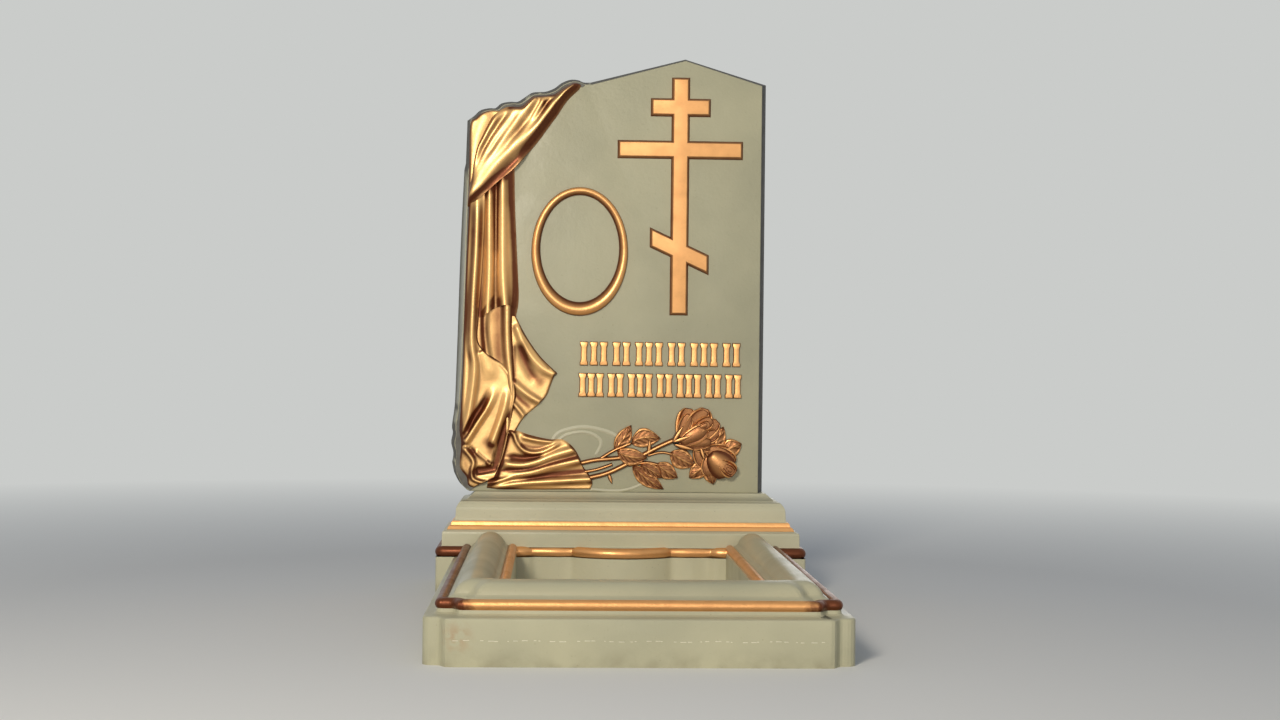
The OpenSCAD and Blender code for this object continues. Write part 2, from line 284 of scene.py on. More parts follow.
@dataclass(frozen=True)
class Leaf(Patch):
    """A pointed leaf or petal from its root to its tip, domed across, with veins or a raised rim.

    Attributes:
        dome: height of the middle over the edges.
        veins: how many side veins it has, or 0.
        rim: height of its raised edge.
    """

    dome: float = 4.0
    veins: int = 0
    rim: float = 0.0

    @classmethod
    def grow(
        cls, root: Point, tip: Point, bulge: Point, level: float, blunt: bool = False, **look: float
    ) -> "Leaf":
        """A leaf or petal from its main sizes.

        Args:
            root: where it starts.
            tip: where it ends.
            bulge: how far its left and right edges stand out from the line between the two.
            level: height of its edges over the face.
            blunt: whether its tip is broad, as a petal's is.
            look: dome, veins, rim and tarnish.

        Returns:
            The leaf.
        """
        a, b = Vector(root), Vector(tip)
        side = (b - a).orthogonal().normalized()
        pointed = ((0, 0.03), (0.12, 0.55), (0.35, 1.0), (0.6, 0.95), (0.82, 0.55), (0.95, 0.18), (1, 0.02))
        broad = ((0, 0.3), (0.12, 0.62), (0.35, 0.9), (0.6, 1.0), (0.8, 0.9), (0.93, 0.62), (1, 0.3))
        left, right = (
            tuple(tuple(a.lerp(b, t) + side * sign * out * w) for t, w in (broad if blunt else pointed))
            for sign, out in zip((1, -1), bulge)
        )
        return cls(left, right, level, rolls=(2, 2, 0, 2 if blunt else 0), cells=(26, 36), foot=0.5, **look)

    def bright(self, points: np.ndarray, s: np.ndarray) -> np.ndarray:
        """How much paler the rim and the veins are: see Patch.bright."""
        out = np.abs(2 * s - 1)
        edge = ramp(out, 0.68, 0.85) * (1 - ramp(out, 0.94, 1.0))
        middle = 0.6 * (1 - ramp(out, 0.04, 0.14)) if self.veins else 0.0
        return np.clip(0.8 * edge * (self.rim > 0) + middle, 0, 1)

    def height(self, points: np.ndarray, s: np.ndarray, t: np.ndarray) -> np.ndarray:
        """The leaf's height: see Patch.height."""
        out = np.abs(2 * s - 1)
        full = super().height(points, s, t)
        full = full + self.dome * (1 - out**2) * np.sin(np.pi * np.clip(t, 0.02, 0.98)) ** 0.6
        if self.veins:
            stripe = 0.5 + 0.5 * np.cos(2 * np.pi * self.veins * (t - 0.3 * out))
            full = full + 1.1 * stripe**3 * ramp(1 - out, 0.05, 0.3) + 1.4 * (1 - ramp(out, 0.03, 0.12))
        return full + self.rim * ramp(out, 0.62, 0.82) * (1 - ramp(out, 0.9, 1.0))


def extruded(bm: BMesh, face: BMFace) -> BMFace:
    """Extrudes a face and gives the new one, which has not moved yet. The first face stays in the mesh."""
    made = bmesh.ops.extrude_face_region(bm, geom=[face])["geom"]
    return next(g for g in made if isinstance(g, BMFace))


def kept_layer(layers: BMLayerCollection, name: str) -> BMLayerItem:
    """The layer of a name, made at its first use."""
    return layers.get(name) or layers.new(name)


@dataclass
class ReliefFace:
    """An upright face that looks to the front and carries relief.

    Attributes:
        face_y: the face's place in metres.
        foot_z: the height of its foot in metres.
    """

    face_y: float
    foot_z: float

    def at(self, x: float, z: float, out: float) -> Vector:
        """The point that lies across, up and out from the face by so many millimetres."""
        return Vector((x * MM, self.face_y - out * MM, self.foot_z + z * MM))

    def add_patch(self, bm: BMesh, patch: Patch) -> None:
        """Adds a patch as a closed shell, rooted behind the face.

        Args:
            bm: the mesh that it joins.
            patch: the patch.
        """
        tone = kept_layer(bm.verts.layers.float, SHADE_AND_TARNISH)
        across, along = patch.cells
        made = bmesh.ops.create_grid(bm, x_segments=across, y_segments=along, size=0.5)["verts"]
        place = np.array([(v.co.x + 0.5, v.co.y + 0.5) for v in made])
        row = np.rint(place[:, 1] * along).astype(int)
        column = np.rint(place[:, 0] * across).astype(int)
        left, right = patch.edges(along + 1)
        s, t = place[:, 0], place[:, 1]
        points = left[row] + (right[row] - left[row]) * s[:, None]
        height = patch.height(points, s, t)
        grid, spot = np.zeros((along + 1, across + 1)), np.zeros((along + 1, across + 1, 2))
        grid[row, column], spot[row, column] = height, points
        if patch.soft:
            grid = blurred(blurred(grid, patch.soft), patch.soft)
            height = grid[row, column]
        # Painted shade: the copper is darkened on steep flanks and in hollows, which face away from the light. The
        # patch's tarnish and painted shade bands add to it, and the shares from bright() lighten it.
        slope = np.zeros_like(grid)
        for axis in (0, 1):
            run = np.linalg.norm(np.gradient(spot, axis=axis), axis=2)
            slope = np.maximum(slope, np.abs(np.gradient(grid, axis=axis)) / np.maximum(run, 0.2))
        hollow = np.clip((blurred(grid, max(3, across // 5)) - grid) / 6, 0, 1)
        dark = np.clip(0.9 * ramp(slope, 0.2, 1.05) + 0.7 * hollow, 0, 1)
        dark[row, column] = np.clip(dark[row, column] + patch.stain(points), 0, 1) * (1 - patch.bright(points, s))
        for vert, (x, z), out, shade in zip(made, points, height, dark[row, column]):
            vert.co = self.at(x, z, out)
            vert[tone] = shade
        rim = [e for e in {e for v in made for e in v.link_edges} if e.is_boundary]
        skirt = bmesh.ops.extrude_edge_only(bm, edges=rim)["geom"]
        for vert in (g for g in skirt if isinstance(g, BMVert)):
            vert.co.y = self.face_y + ROOT_DEPTH * MM
        bmesh.ops.edgeloop_fill(bm, edges=[g for g in skirt if isinstance(g, BMEdge) and g.is_boundary])

    def add_raised(self, bm: BMesh, outline: Path, rise: float, draft: float, edge: float) -> None:
        """Adds a flat raised figure with sloping sides and softened edges.

        Args:
            bm: the mesh that it joins.
            outline: its foot on the face.
            rise: how far its top stands out.
            draft: how far its sides lean in.
            edge: how far its top edge is rounded.
        """
        # Painted shade: the sloping walls are marked dark and the flat top bright.
        tone = kept_layer(bm.verts.layers.float, SHADE_AND_TARNISH)
        foot = [bm.verts.new(self.at(x, z, -ROOT_DEPTH)) for x, z in outline]
        base = bm.faces.new(foot)
        top = extruded(bm, base)
        for vert in top.verts:
            vert.co.y = self.face_y
            vert[tone] = 1.0
        bmesh.ops.recalc_face_normals(bm, faces=list({f for v in foot for f in v.link_faces} | {top}))
        bmesh.ops.inset_region(bm, faces=[top], thickness=draft * MM, depth=rise * MM, use_even_offset=True)
        for vert in top.verts:
            vert[tone] = 0.75
        rounded = bmesh.ops.bevel(
            bm, geom=list(top.edges), offset=edge * MM, segments=2, affect="EDGES", profile=0.5, material=-1
        )
        for vert in {v for f in rounded["faces"] for v in f.verts}:
            depth = (vert.co.y - self.face_y) / MM + rise
            vert[tone] = 0.0 if depth < 0.01 else 0.6


# ---------------------------------------------------------------- finishes


class Nodes:
    """A writer for one node tree."""

    def __init__(self, tree: NodeTree) -> None:
        """Starts from an empty tree."""
        self.tree = tree
        tree.nodes.clear()

    def add(self, kind: str, inputs: dict | None = None, **settings: object) -> Node:
        """Adds a node.

        Args:
            kind: the node's type, without its ShaderNode prefix.
            inputs: what each input socket is linked or set to, by its name or place.
            settings: the node's own properties.

        Returns:
            The node.
        """
        node = self.tree.nodes.new("ShaderNode" + kind)
        for name, value in settings.items():
            setattr(node, name, value)
        for name, value in (inputs or {}).items():
            if isinstance(value, NodeSocket):
                self.tree.links.new(value, node.inputs[name])
            else:
                node.inputs[name].default_value = value
        return node

    def noise(self, where: NodeSocket, scale: float, detail: float = 4.0) -> NodeSocket:
        """A noise pattern's strength."""
        return self.add("TexNoise", {"Vector": where, "Scale": scale, "Detail": detail}).outputs["Fac"]

    def ramp(
        self, value: NodeSocket, low: float, high: float, start: float = 0.0, end: float = 1.0
    ) -> NodeSocket:
        """A value carried from one range to another, and held at its ends."""
        inputs = {"Value": value, "From Min": low, "From Max": high, "To Min": start, "To Max": end}
        return self.add("MapRange", inputs).outputs["Result"]

    def mix(self, share: NodeSocket | float, first: object, second: object) -> NodeSocket:
        """Two colours mixed by a share of the second."""
        return self.add("Mix", {0: share, 6: first, 7: second}, data_type="RGBA").outputs[2]

    def math(self, operation: str, first: object, second: object = 0.0) -> NodeSocket:
        """A sum, product or other result of two numbers."""
        return self.add("Math", {0: first, 1: second}, operation=operation).outputs[0]

    def bump(
        self, height: NodeSocket, distance: float, strength: float, below: NodeSocket | None = None
    ) -> NodeSocket:
        """A bumped normal over another one."""
        inputs = {"Height": height, "Distance": distance, "Strength": strength}
        if below is not None:
            inputs["Normal"] = below
        return self.add("Bump", inputs).outputs["Normal"]


def linear(red: int, green: int, blue: int) -> Colour:
    """A display colour from 0 to 255 as the linear colour that shaders take."""
    parts = [c / 255 for c in (red, green, blue)]
    return (*(c / 12.92 if c <= 0.04045 else ((c + 0.055) / 1.055) ** 2.4 for c in parts), 1.0)


def blank_material(name: str) -> tuple[Material, Nodes, NodeSocket]:
    """A new material, the writer for its nodes, and the socket for a point's place on its object."""
    made = bpy.data.materials.new(name)
    made.use_nodes = True
    n = Nodes(made.node_tree)
    return made, n, n.add("TexCoord").outputs["Object"]


@dataclass(frozen=True)
class EnamelledConcrete:
    """Cast concrete under a pale gloss enamel, with soft waves, specks and a little grime, and a darker, rough grey
    cement where a point attribute asks for it.

    Attributes:
        name: the material's name.
        colour: the enamel.
        shade: the enamel where it is thin.
        grime: what gathers on it.
        cement: the darker grey cement.
        dark_cement: what mottles it.
        rusty: a rusty stain.
        rust: where a rusty stain lies in metres, or None.
    """

    name: str = "enamelled_concrete"
    colour: Colour = linear(184, 180, 150)
    shade: Colour = linear(170, 167, 140)
    grime: Colour = linear(132, 124, 100)
    cement: Colour = linear(124, 122, 115)
    dark_cement: Colour = linear(104, 101, 95)
    rusty: Colour = linear(168, 128, 92)
    rust: Place | None = None

    def material(self) -> Material:
        """The material."""
        made, n, where = blank_material(self.name)
        broad, fine = n.noise(where, 5.0, 3.0), n.noise(where, 260.0, 2.0)
        colour = n.mix(n.ramp(broad, 0.35, 0.68), self.colour, self.shade)
        colour = n.mix(n.ramp(fine, 0.68, 0.8, 0.0, 0.35), colour, self.grime)
        spots = n.add("TexVoronoi", {"Vector": where, "Scale": 38.0}).outputs["Distance"]
        colour = n.mix(n.ramp(spots, 0.03, 0.055, 0.45, 0.0), colour, self.grime)
        low = n.add("SeparateXYZ", {"Vector": where}).outputs["Z"]
        damp = n.math("MULTIPLY", n.ramp(low, 0.0, 0.035, 0.5, 0.0), n.ramp(n.noise(where, 22.0), 0.4, 0.65))
        colour = n.mix(damp, colour, self.grime)
        if self.rust is not None:
            near = n.add("VectorMath", {0: where, 1: self.rust}, operation="DISTANCE").outputs["Value"]
            stain = n.math("MULTIPLY", n.ramp(near, 0.005, 0.035, 0.55, 0.0), n.ramp(n.noise(where, 70.0), 0.4, 0.62))
            colour = n.mix(stain, colour, self.rusty)
        grey_share = n.add("Attribute", attribute_name=GREY_CEMENT).outputs["Fac"]
        cement = n.mix(n.ramp(n.noise(where, 45.0), 0.35, 0.68), self.cement, self.dark_cement)
        colour = n.mix(grey_share, colour, cement)
        gloss = n.ramp(n.noise(where, 9.0, 3.0), 0.35, 0.7, 0.3, 0.44)
        gloss = n.math("MAXIMUM", gloss, n.math("MULTIPLY", grey_share, 0.88))
        waves = n.bump(n.noise(where, 14.0, 1.0), 0.006, 0.35)
        peel = n.bump(n.noise(where, 120.0, 3.0), 0.0012, 0.4, waves)
        shader = n.add("BsdfPrincipled", {"Base Color": colour, "Roughness": gloss, "Normal": peel})
        shader.inputs["Specular IOR Level"].default_value = 0.28
        n.add("OutputMaterial", {"Surface": shader.outputs[0]})
        return made


@dataclass(frozen=True)
class CopperPaint:
    """Copper-bronze paint with brush marks: bright on the crests, brown in painted shade on flanks and in hollows.

    Attributes:
        name: the material's name.
        bright: the paint on the crests.
        brown: the paint in painted shade, and where it is tarnished.
        shaded_beyond: distance from the middle past which the paint is darkened to brown as painted shade on the sides,
            in metres, or None.
        tarnish: how much browner it is all over, from 0 to 1.
        roughness: its least and greatest roughness.
        metallic: how much it reflects as metal, from 0 to 1.
    """

    name: str = "copper_paint"
    bright: Colour = linear(250, 186, 118)
    brown: Colour = linear(108, 58, 32)
    shaded_beyond: float | None = None
    tarnish: float = 0.0
    roughness: Point = (0.34, 0.46)
    metallic: float = 0.7

    def material(self) -> Material:
        """The material."""
        made, n, where = blank_material(self.name)
        cloud, brush = n.noise(where, 24.0, 4.0), n.noise(where, 210.0, 3.0)
        # Painted shade and tarnish, carried in a point attribute.
        dark = n.add("Attribute", attribute_name=SHADE_AND_TARNISH).outputs["Fac"]
        dark = n.math("ADD", dark, n.ramp(cloud, 0.5, 0.8, self.tarnish, self.tarnish + 0.14))
        dark = n.math("ADD", dark, n.ramp(brush, 0.6, 0.8, 0.0, 0.12))
        # Painted shade: past shaded_beyond the paint is darkened to brown, where the rolls turn away from the light.
        if self.shaded_beyond is not None:
            side = n.math("ABSOLUTE", n.add("SeparateXYZ", {"Vector": where}).outputs["X"])
            side = n.math("ADD", side, n.ramp(n.noise(where, 60.0), 0.3, 0.7, -0.01, 0.01))
            dark = n.math("ADD", dark, n.ramp(side, self.shaded_beyond - 0.022, self.shaded_beyond + 0.012, 0.0, 0.95))
        colour = n.mix(n.ramp(dark, 0.0, 1.0), self.bright, self.brown)
        gloss = n.ramp(cloud, 0.35, 0.7, *self.roughness)
        strokes = n.bump(brush, 0.0007, 0.35, n.bump(n.noise(where, 45.0, 2.0), 0.0016, 0.3))
        shader = n.add("BsdfPrincipled", {"Base Color": colour, "Roughness": gloss, "Normal": strokes})
        shader.inputs["Metallic"].default_value = self.metallic
        n.add("OutputMaterial", {"Surface": shader.outputs[0]})
        return made


# ---------------------------------------------------------------- pieces


def add_object(name: str, data: ID) -> Object:
    """A new object in the scene."""
    made = bpy.data.objects.new(name, data)
    bpy.context.scene.collection.objects.link(made)
    return made


def make_piece(
    bm: BMesh, name: str, material: Material, slot: Slot, crease: float = 42.0
) -> Object:
    """Turns a finished bmesh into a dressed object that rides on the part.

    Args:
        bm: the mesh, which is freed.
        name: the piece's name.
        material: its finish.
        slot: the record's slot that the finish stands for; not used.
        crease: the least turn, in degrees, at which an edge stays sharp.

    Returns:
        The object.
    """
    bmesh.ops.recalc_face_normals(bm, faces=bm.faces)
    for face in bm.faces:
        face.smooth = True
    mesh = bpy.data.meshes.new(name)
    bm.to_mesh(mesh)
    bm.free()
    mesh.materials.append(material)
    mesh.set_sharp_from_angle(angle=math.radians(crease))
    piece = add_object(name, mesh)
    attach(piece, BODY)
    LOG.info("%s: %d faces", name, len(mesh.polygons))
    return piece


def soften(piece: Object, width: float, angle: float = 25.0) -> None:
    """Rounds a casting's edges a little.

    Args:
        piece: the casting.
        width: how wide the rounding is, in mm.
        angle: the least turn, in degrees, at which an edge is rounded.
    """
    bevel = piece.modifiers.new("soft_edges", "BEVEL")
    bevel.width = width * MM
    bevel.segments = 3
    bevel.limit_method = "ANGLE"
    bevel.angle_limit = math.radians(angle)
    bevel.harden_normals = True


def sweep(bm: BMesh, section: Path, stations: Sequence[Callable[[float], Point]]) -> None:
    """Carries a closed section along stations, in mm.

    Args:
        bm: the mesh that it joins.
        section: the section's points: distance in from the outer face, and height.
        stations: each gives the place in plan of a point that lies so far in.
    """
    order = kept_layer(bm.verts.layers.int, ORDER)
    first = []
    for i, (inward, z) in enumerate(section):
        x, y = stations[0](inward)
        first.append(bm.verts.new((x * MM, y * MM, z * MM)))
        first[-1][order] = i
    face = bm.faces.new(first)
    for place in stations[1:]:
        face = extruded(bm, face)
        for vert in face.verts:
            inward, z = section[vert[order]]
            x, y = place(inward)
            vert.co = (x * MM, y * MM, z * MM)


def arc(centre: Point, radius: float, start: float, end: float, count: int) -> list[Point]:
    """Points on an arc, with angles in degrees."""
    turns = (math.radians(start + (end - start) * i / (count - 1)) for i in range(count))
    return [(centre[0] + radius * math.cos(a), centre[1] + radius * math.sin(a)) for a in turns]


@dataclass
class Slab:
    """The stele's plain slab with its drafted sides.

    Attributes:
        face: the face that it carries relief on.
        thickness: from its face to its back, in mm.
        draft: how much larger its back is on each side, in mm.
        right_lean: how much farther its right side leans out, in mm.
        right_edge: where its right side stands on the face, in mm.
        middle: the point that its back grows away from, in mm.
        rounds: how far its front and back edges are rounded, in mm.
        enamel_reach: how far round its front edge the pale enamel goes before the grey cement starts, in mm.
    """

    face: ReliefFace
    thickness: float = 80.0
    draft: float = 16.0
    right_lean: float = 8.0
    right_edge: float = 315
    middle: Point = (-20, 445)
    rounds: Point = (2.2, 4.0)
    enamel_reach: float = 1.0

    def outline(self) -> list[Point]:
        """The face's outline, from the foot of its left edge to the foot of its right edge."""
        side = ((-379, 62), (-376, 84), (-381, 108), (-377, 130), (-379, 146), (-373, 190), (-370, 240), (-364, 400),
                (-360, 600), (-357, 730))
        top = ((-353, 842), (-338, 853), (-324, 866), (-304, 871), (-290, 871), (-277, 882), (-256, 886), (-240, 886),
               (-223, 897), (-208, 907), (-190, 909), (-176, 910), (-157, 918), (-142, 930), (-122, 938), (-104, 937),
               (-92, 932), (-76, 932))
        return [
            (-345, 0), (-352, 4), (-362, 14), (-369, 26), (-375, 40),
            *map(tuple, smooth_path(side, 30)), (-354, 745),
            *map(tuple, smooth_path(top, 48)),
            (138, 990), (self.right_edge, 935), (self.right_edge, 0),
        ]

    def build(self, enamel: Material) -> Object:
        """Builds the slab in place of the plain stele.

        Args:
            enamel: its finish.

        Returns:
            The piece.
        """
        bm = bmesh.new()
        front = bm.faces.new([bm.verts.new(self.face.at(x, z, 0)) for x, z in self.outline()])
        made = bmesh.ops.extrude_face_region(bm, geom=[front])["geom"]
        back = next(g for g in made if isinstance(g, BMFace))
        for vert, (x, z) in zip([v for v in made if isinstance(v, BMVert)], self.outline()):
            away = (Vector((x, z)) - Vector(self.middle)).normalized() * self.draft
            away.x += self.right_lean if x >= self.right_edge else 0
            vert.co = self.face.at(x + away.x, max(0, z + max(0, away.y)), -self.thickness)
        for rim, round_off in zip((front, back), self.rounds):
            bmesh.ops.bevel(bm, geom=list(rim.edges), offset=round_off * MM, segments=3, affect="EDGES",
                            profile=0.5, material=-1, clamp_overlap=True)
        grey_share = kept_layer(bm.verts.layers.float, GREY_CEMENT)
        for vert in bm.verts:
            vert[grey_share] = 0.0 if vert.co.y < self.face.face_y + self.enamel_reach * MM else 1.0
        piece = make_piece(bm, "stele_slab", enamel, Slot.ENAMEL)
        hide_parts("stele")
        self.build_border(enamel)
        return piece

    def build_border(self, enamel: Material) -> None:
        """Builds the strip of darker grey cement between the cloth and the slab's left and top edges."""
        outer = ((-343, 1), (-360, 14), (-374, 42), (-377, 64), (-375, 84), (-379, 108), (-376, 130), (-377, 148),
                 (-371, 190), (-368, 240), (-362, 400), (-358, 600), (-355, 730), (-351, 840), (-337, 851),
                 (-323, 864), (-303, 869), (-289, 869), (-276, 880), (-255, 884), (-239, 884), (-222, 895),
                 (-207, 905), (-189, 907), (-175, 908), (-156, 916), (-141, 928), (-121, 936), (-104, 935), (-92, 930))
        inner = ((-330, 10), (-345, 18), (-358, 48), (-360, 66), (-360, 84), (-360, 108), (-362, 130), (-362, 148),
                 (-360, 190), (-358, 240), (-354, 400), (-350, 600), (-346, 730), (-340, 836), (-330, 844),
                 (-318, 856), (-300, 862), (-288, 862), (-274, 868), (-256, 872), (-240, 872), (-224, 884),
                 (-208, 895), (-190, 898), (-176, 898), (-158, 906), (-143, 915), (-121, 928), (-104, 926), (-97, 925))
        bm = bmesh.new()
        self.face.add_patch(bm, Patch(outer, inner, 0.9, rolls=(1.5, 0, 0, 0), cells=(6, 240), foot=-0.3, least=0.3))
        grey_share = kept_layer(bm.verts.layers.float, GREY_CEMENT)
        for vert in bm.verts:
            vert[grey_share] = 1.0
        make_piece(bm, "stele_grey_border", enamel, Slot.ENAMEL)


@dataclass
class Relief:
    """One piece of relief.

    Attributes:
        name: the piece's name.
        slot: the record's slot for its finish.
        face: the face that it lies on.
    """

    name: ClassVar[str]
    slot: ClassVar[Slot] = Slot.COPPER
    face: ReliefFace

    def patches(self) -> Iterable[Patch]:
        """The patches that it is made of, the lowest first."""
        return ()

    def shape(self, bm: BMesh) -> None:
        """Adds its shape to a mesh."""
        for patch in self.patches():
            self.face.add_patch(bm, patch)

    def build(self, material: Material) -> Object:
        """Builds it.

        Args:
            material: its finish.

        Returns:
            The piece.
        """
        bm = bmesh.new()
        self.shape(bm)
        return make_piece(bm, self.name, material, self.slot)


@dataclass
class Drapery(Relief):
    """The hanging cloth: a swag across the corner, columns, a fall with its turned-out corner, and a puddle."""

    name = "drapery"

    def swag(self) -> Patch:
        """The swag across the upper corner."""
        return Patch(
            left=((-103, 931), (-118, 934), (-144, 919), (-166, 906), (-200, 902), (-212, 899), (-236, 878),
                  (-262, 877), (-276, 873), (-298, 857), (-312, 838), (-326, 810), (-338, 786), (-346, 750),
                  (-349, 714), (-354, 684), (-357, 650)),
            right=((-101, 927), (-108, 917), (-124, 902), (-138, 885), (-154, 860), (-174, 832), (-194, 804),
                   (-214, 779), (-232, 758), (-250, 738), (-266, 723), (-288, 705), (-314, 681), (-338, 661),
                   (-354, 647)),
            base=11,
            ridges=(
                Fold(((-292, 858), (-306, 830), (-322, 802), (-334, 774), (-344, 724)), (13, 9), (11, 6)),
                Fold(((-246, 872), (-278, 828), (-312, 780), (-338, 730)), (9, 7), (11, 8)),
                Fold(((-212, 892), (-256, 832), (-290, 780), (-326, 730), (-344, 690)), (18, 16), (12, 11)),
                Fold(((-184, 896), (-214, 842), (-248, 802), (-280, 776)), (9, 8), (12, 10), (0, 0.3)),
                Fold(((-122, 920), (-164, 880), (-204, 830), (-250, 786), (-292, 744), (-346, 672)), (16, 24),
                     (12, 16)),
            ),
            grooves=(
                Fold(((-278, 856), (-302, 820), (-320, 782), (-332, 750)), (9, 7), (5, 4), (0, 0.3)),
                Fold(((-236, 880), (-266, 836), (-290, 802), (-328, 742)), (7, 6), (5, 4), (0, 0.3)),
                Fold(((-168, 904), (-188, 874), (-224, 824), (-250, 796)), (8, 7), (4, 3), (0, 0.4)),
            ),
            rolls=(7, 17, 0, 0),
            cells=(90, 200),
            soft=4,
            lips=(Fold(((-214, 779), (-250, 738), (-288, 705), (-350, 650)), (40, 40), (18, 17), (0.24, 0.1)),),
        )

    def back_corner(self) -> Patch:
        """The small piece of cloth that shows behind the swag, in the corner."""
        return Patch(
            left=((-354, 690), (-354, 770), (-352, 836), (-340, 850), (-326, 862), (-306, 868), (-290, 868)),
            right=((-344, 690), (-336, 760), (-322, 806), (-306, 836), (-300, 848), (-292, 860), (-286, 864)),
            base=9, ridges=(Fold(((-346, 720), (-336, 800), (-318, 850)), (12, 18), (3, 4)),),
            rolls=(6, 0, 0, 0), cells=(24, 60), soft=1,
        )

    def column(self) -> Patch:
        """The pleated column under the swag, with its arched hem."""
        return Patch(
            left=((-338, 790), (-338, 640), (-340, 480), (-340, 392), (-326, 392), (-306, 408), (-286, 420),
                  (-266, 425), (-250, 420), (-243, 408)),
            right=((-251, 752), (-249, 660), (-244, 560), (-240, 490), (-238, 450), (-239, 425), (-242, 407)),
            base=6,
            ridges=(
                Fold(((-306, 712), (-306, 620), (-305, 500), (-308, 400)), (11, 14), (9, 13)),
                Fold(((-277, 738), (-276, 640), (-274, 500), (-268, 418)), (13, 18), (9, 15)),
            ),
            grooves=(Fold(((-292, 790), (-291, 640), (-289, 500)), (4, 3), (4, 2), (0, 0.3)),),
            rolls=(0, 14, 0, 0), cells=(60, 170), soft=1,
            # Painted shadow under the swag's hem, and painted shade down the column's flanks.
            shade_bands=(Fold(((-340, 658), (-300, 694), (-250, 736)), (10, 10), (0.85, 0.85)),
                     Fold(((-326, 700), (-326, 520), (-326, 400)), (7, 7), (0.7, 0.8)),
                     Fold(((-256, 700), (-252, 560), (-248, 440)), (6, 6), (0.8, 0.8))),
        )

    def inner_column(self) -> Patch:
        """The cloth that comes out from under the column's hem."""
        return Patch(
            left=((-345, 430), (-345, 370), (-345, 320), (-330, 250)),
            right=((-242, 440), (-243, 370), (-238, 300), (-237, 190)),
            base=5,
            ridges=(
                Fold(((-313, 430), (-314, 365), (-306, 300)), (9, 9), (6, 7)),
                Fold(((-264, 440), (-263, 360), (-259, 300), (-248, 220)), (13, 11), (10, 9)),
            ),
            rolls=(0, 12, 0, 0), cells=(50, 100), soft=1,
            shade_bands=(Fold(((-324, 430), (-318, 380), (-316, 320)), (9, 12), (0.9, 0.8)),
                     Fold(((-286, 430), (-286, 360), (-282, 290)), (18, 14), (0.55, 0.6))),
        )

    def fall(self) -> Patch:
        """The long fall at the left, with its curving right edge and the knot at its foot."""
        return Patch(
            left=((-352, 690), (-355, 600), (-358, 520), (-362, 390), (-363, 286), (-366, 206), (-369, 142),
                  (-365, 110), (-367, 76), (-366, 52), (-352, 32), (-348, 14), (-336, 8)),
            right=((-315, 690), (-316, 600), (-320, 500), (-327, 400), (-329, 342), (-306, 314), (-270, 288),
                   (-247, 256), (-241, 222), (-246, 190), (-256, 136), (-268, 84), (-288, 30)),
            base=9,
            ridges=(
                Fold(((-333, 690), (-335, 560), (-341, 430), (-343, 340), (-336, 290), (-340, 230), (-350, 165),
                      (-362, 120)), (13, 11), (11, 11), (0.08, 0.06)),
                Fold(((-322, 322), (-306, 290), (-296, 250)), (22, 22), (6, 4), (0.1, 0.4)),
                Fold(((-326, 392), (-325, 342), (-302, 312), (-268, 286), (-250, 254), (-246, 222), (-252, 186),
                      (-264, 130)), (5, 6), (5, 6), (0.05, 0.25)),
                Fold(((-284, 244), (-306, 192), (-328, 156), (-358, 106)), (12, 9), (8, 9), (0.35, 0.05)),
                Fold(((-258, 240), (-266, 196), (-278, 156), (-298, 100)), (12, 11), (8, 11), (0.3, 0.1)),
                Fold(((-362, 102), (-346, 84), (-336, 66), (-340, 46), (-336, 28), (-312, 20), (-286, 20)),
                     (7, 6), (10, 7), (0.08, 0)),
                Fold(((-336, 92), (-318, 76), (-296, 60)), (6, 5), (6, 6), (0.2, 0.1)),
            ),
            grooves=(
                Fold(((-298, 232), (-318, 194), (-338, 164), (-362, 124)), (9, 8), (7, 8), (0.4, 0.05)),
                Fold(((-254, 190), (-266, 146), (-276, 104), (-284, 66)), (9, 11), (6, 9), (0.3, 0)),
                Fold(((-330, 46), (-312, 48), (-290, 52)), (10, 9), (8, 9), (0.1, 0)),
                Fold(((-348, 100), (-328, 82), (-306, 66)), (5, 4), (5, 5), (0.1, 0.1)),
            ),
            rolls=(9, 3, 0, 3), cells=(84, 260), soft=1, least=3.5,
            shade_bands=(
                Fold(((-356, 690), (-360, 500), (-364, 340), (-368, 200), (-366, 110)), (8, 9), (0.9, 0.95)),
                Fold(((-296, 250), (-316, 198), (-338, 164), (-362, 122)), (12, 9), (0.75, 0.85), (0.4, 0)),
                Fold(((-250, 200), (-262, 150), (-274, 104), (-286, 56)), (8, 12), (0.85, 1.0), (0.2, 0)),
                Fold(((-346, 96), (-322, 78), (-300, 62)), (9, 8), (0.7, 0.7), (0.1, 0.1)),
                Fold(((-336, 44), (-312, 47), (-284, 52)), (11, 11), (0.9, 0.9)),
                Fold(((-360, 80), (-352, 56), (-344, 36)), (9, 8), (0.5, 0.5)),
                Fold(((-318, 124), (-300, 104), (-292, 84)), (16, 12), (0.6, 0.7), (0.3, 0)),
            ),
        )

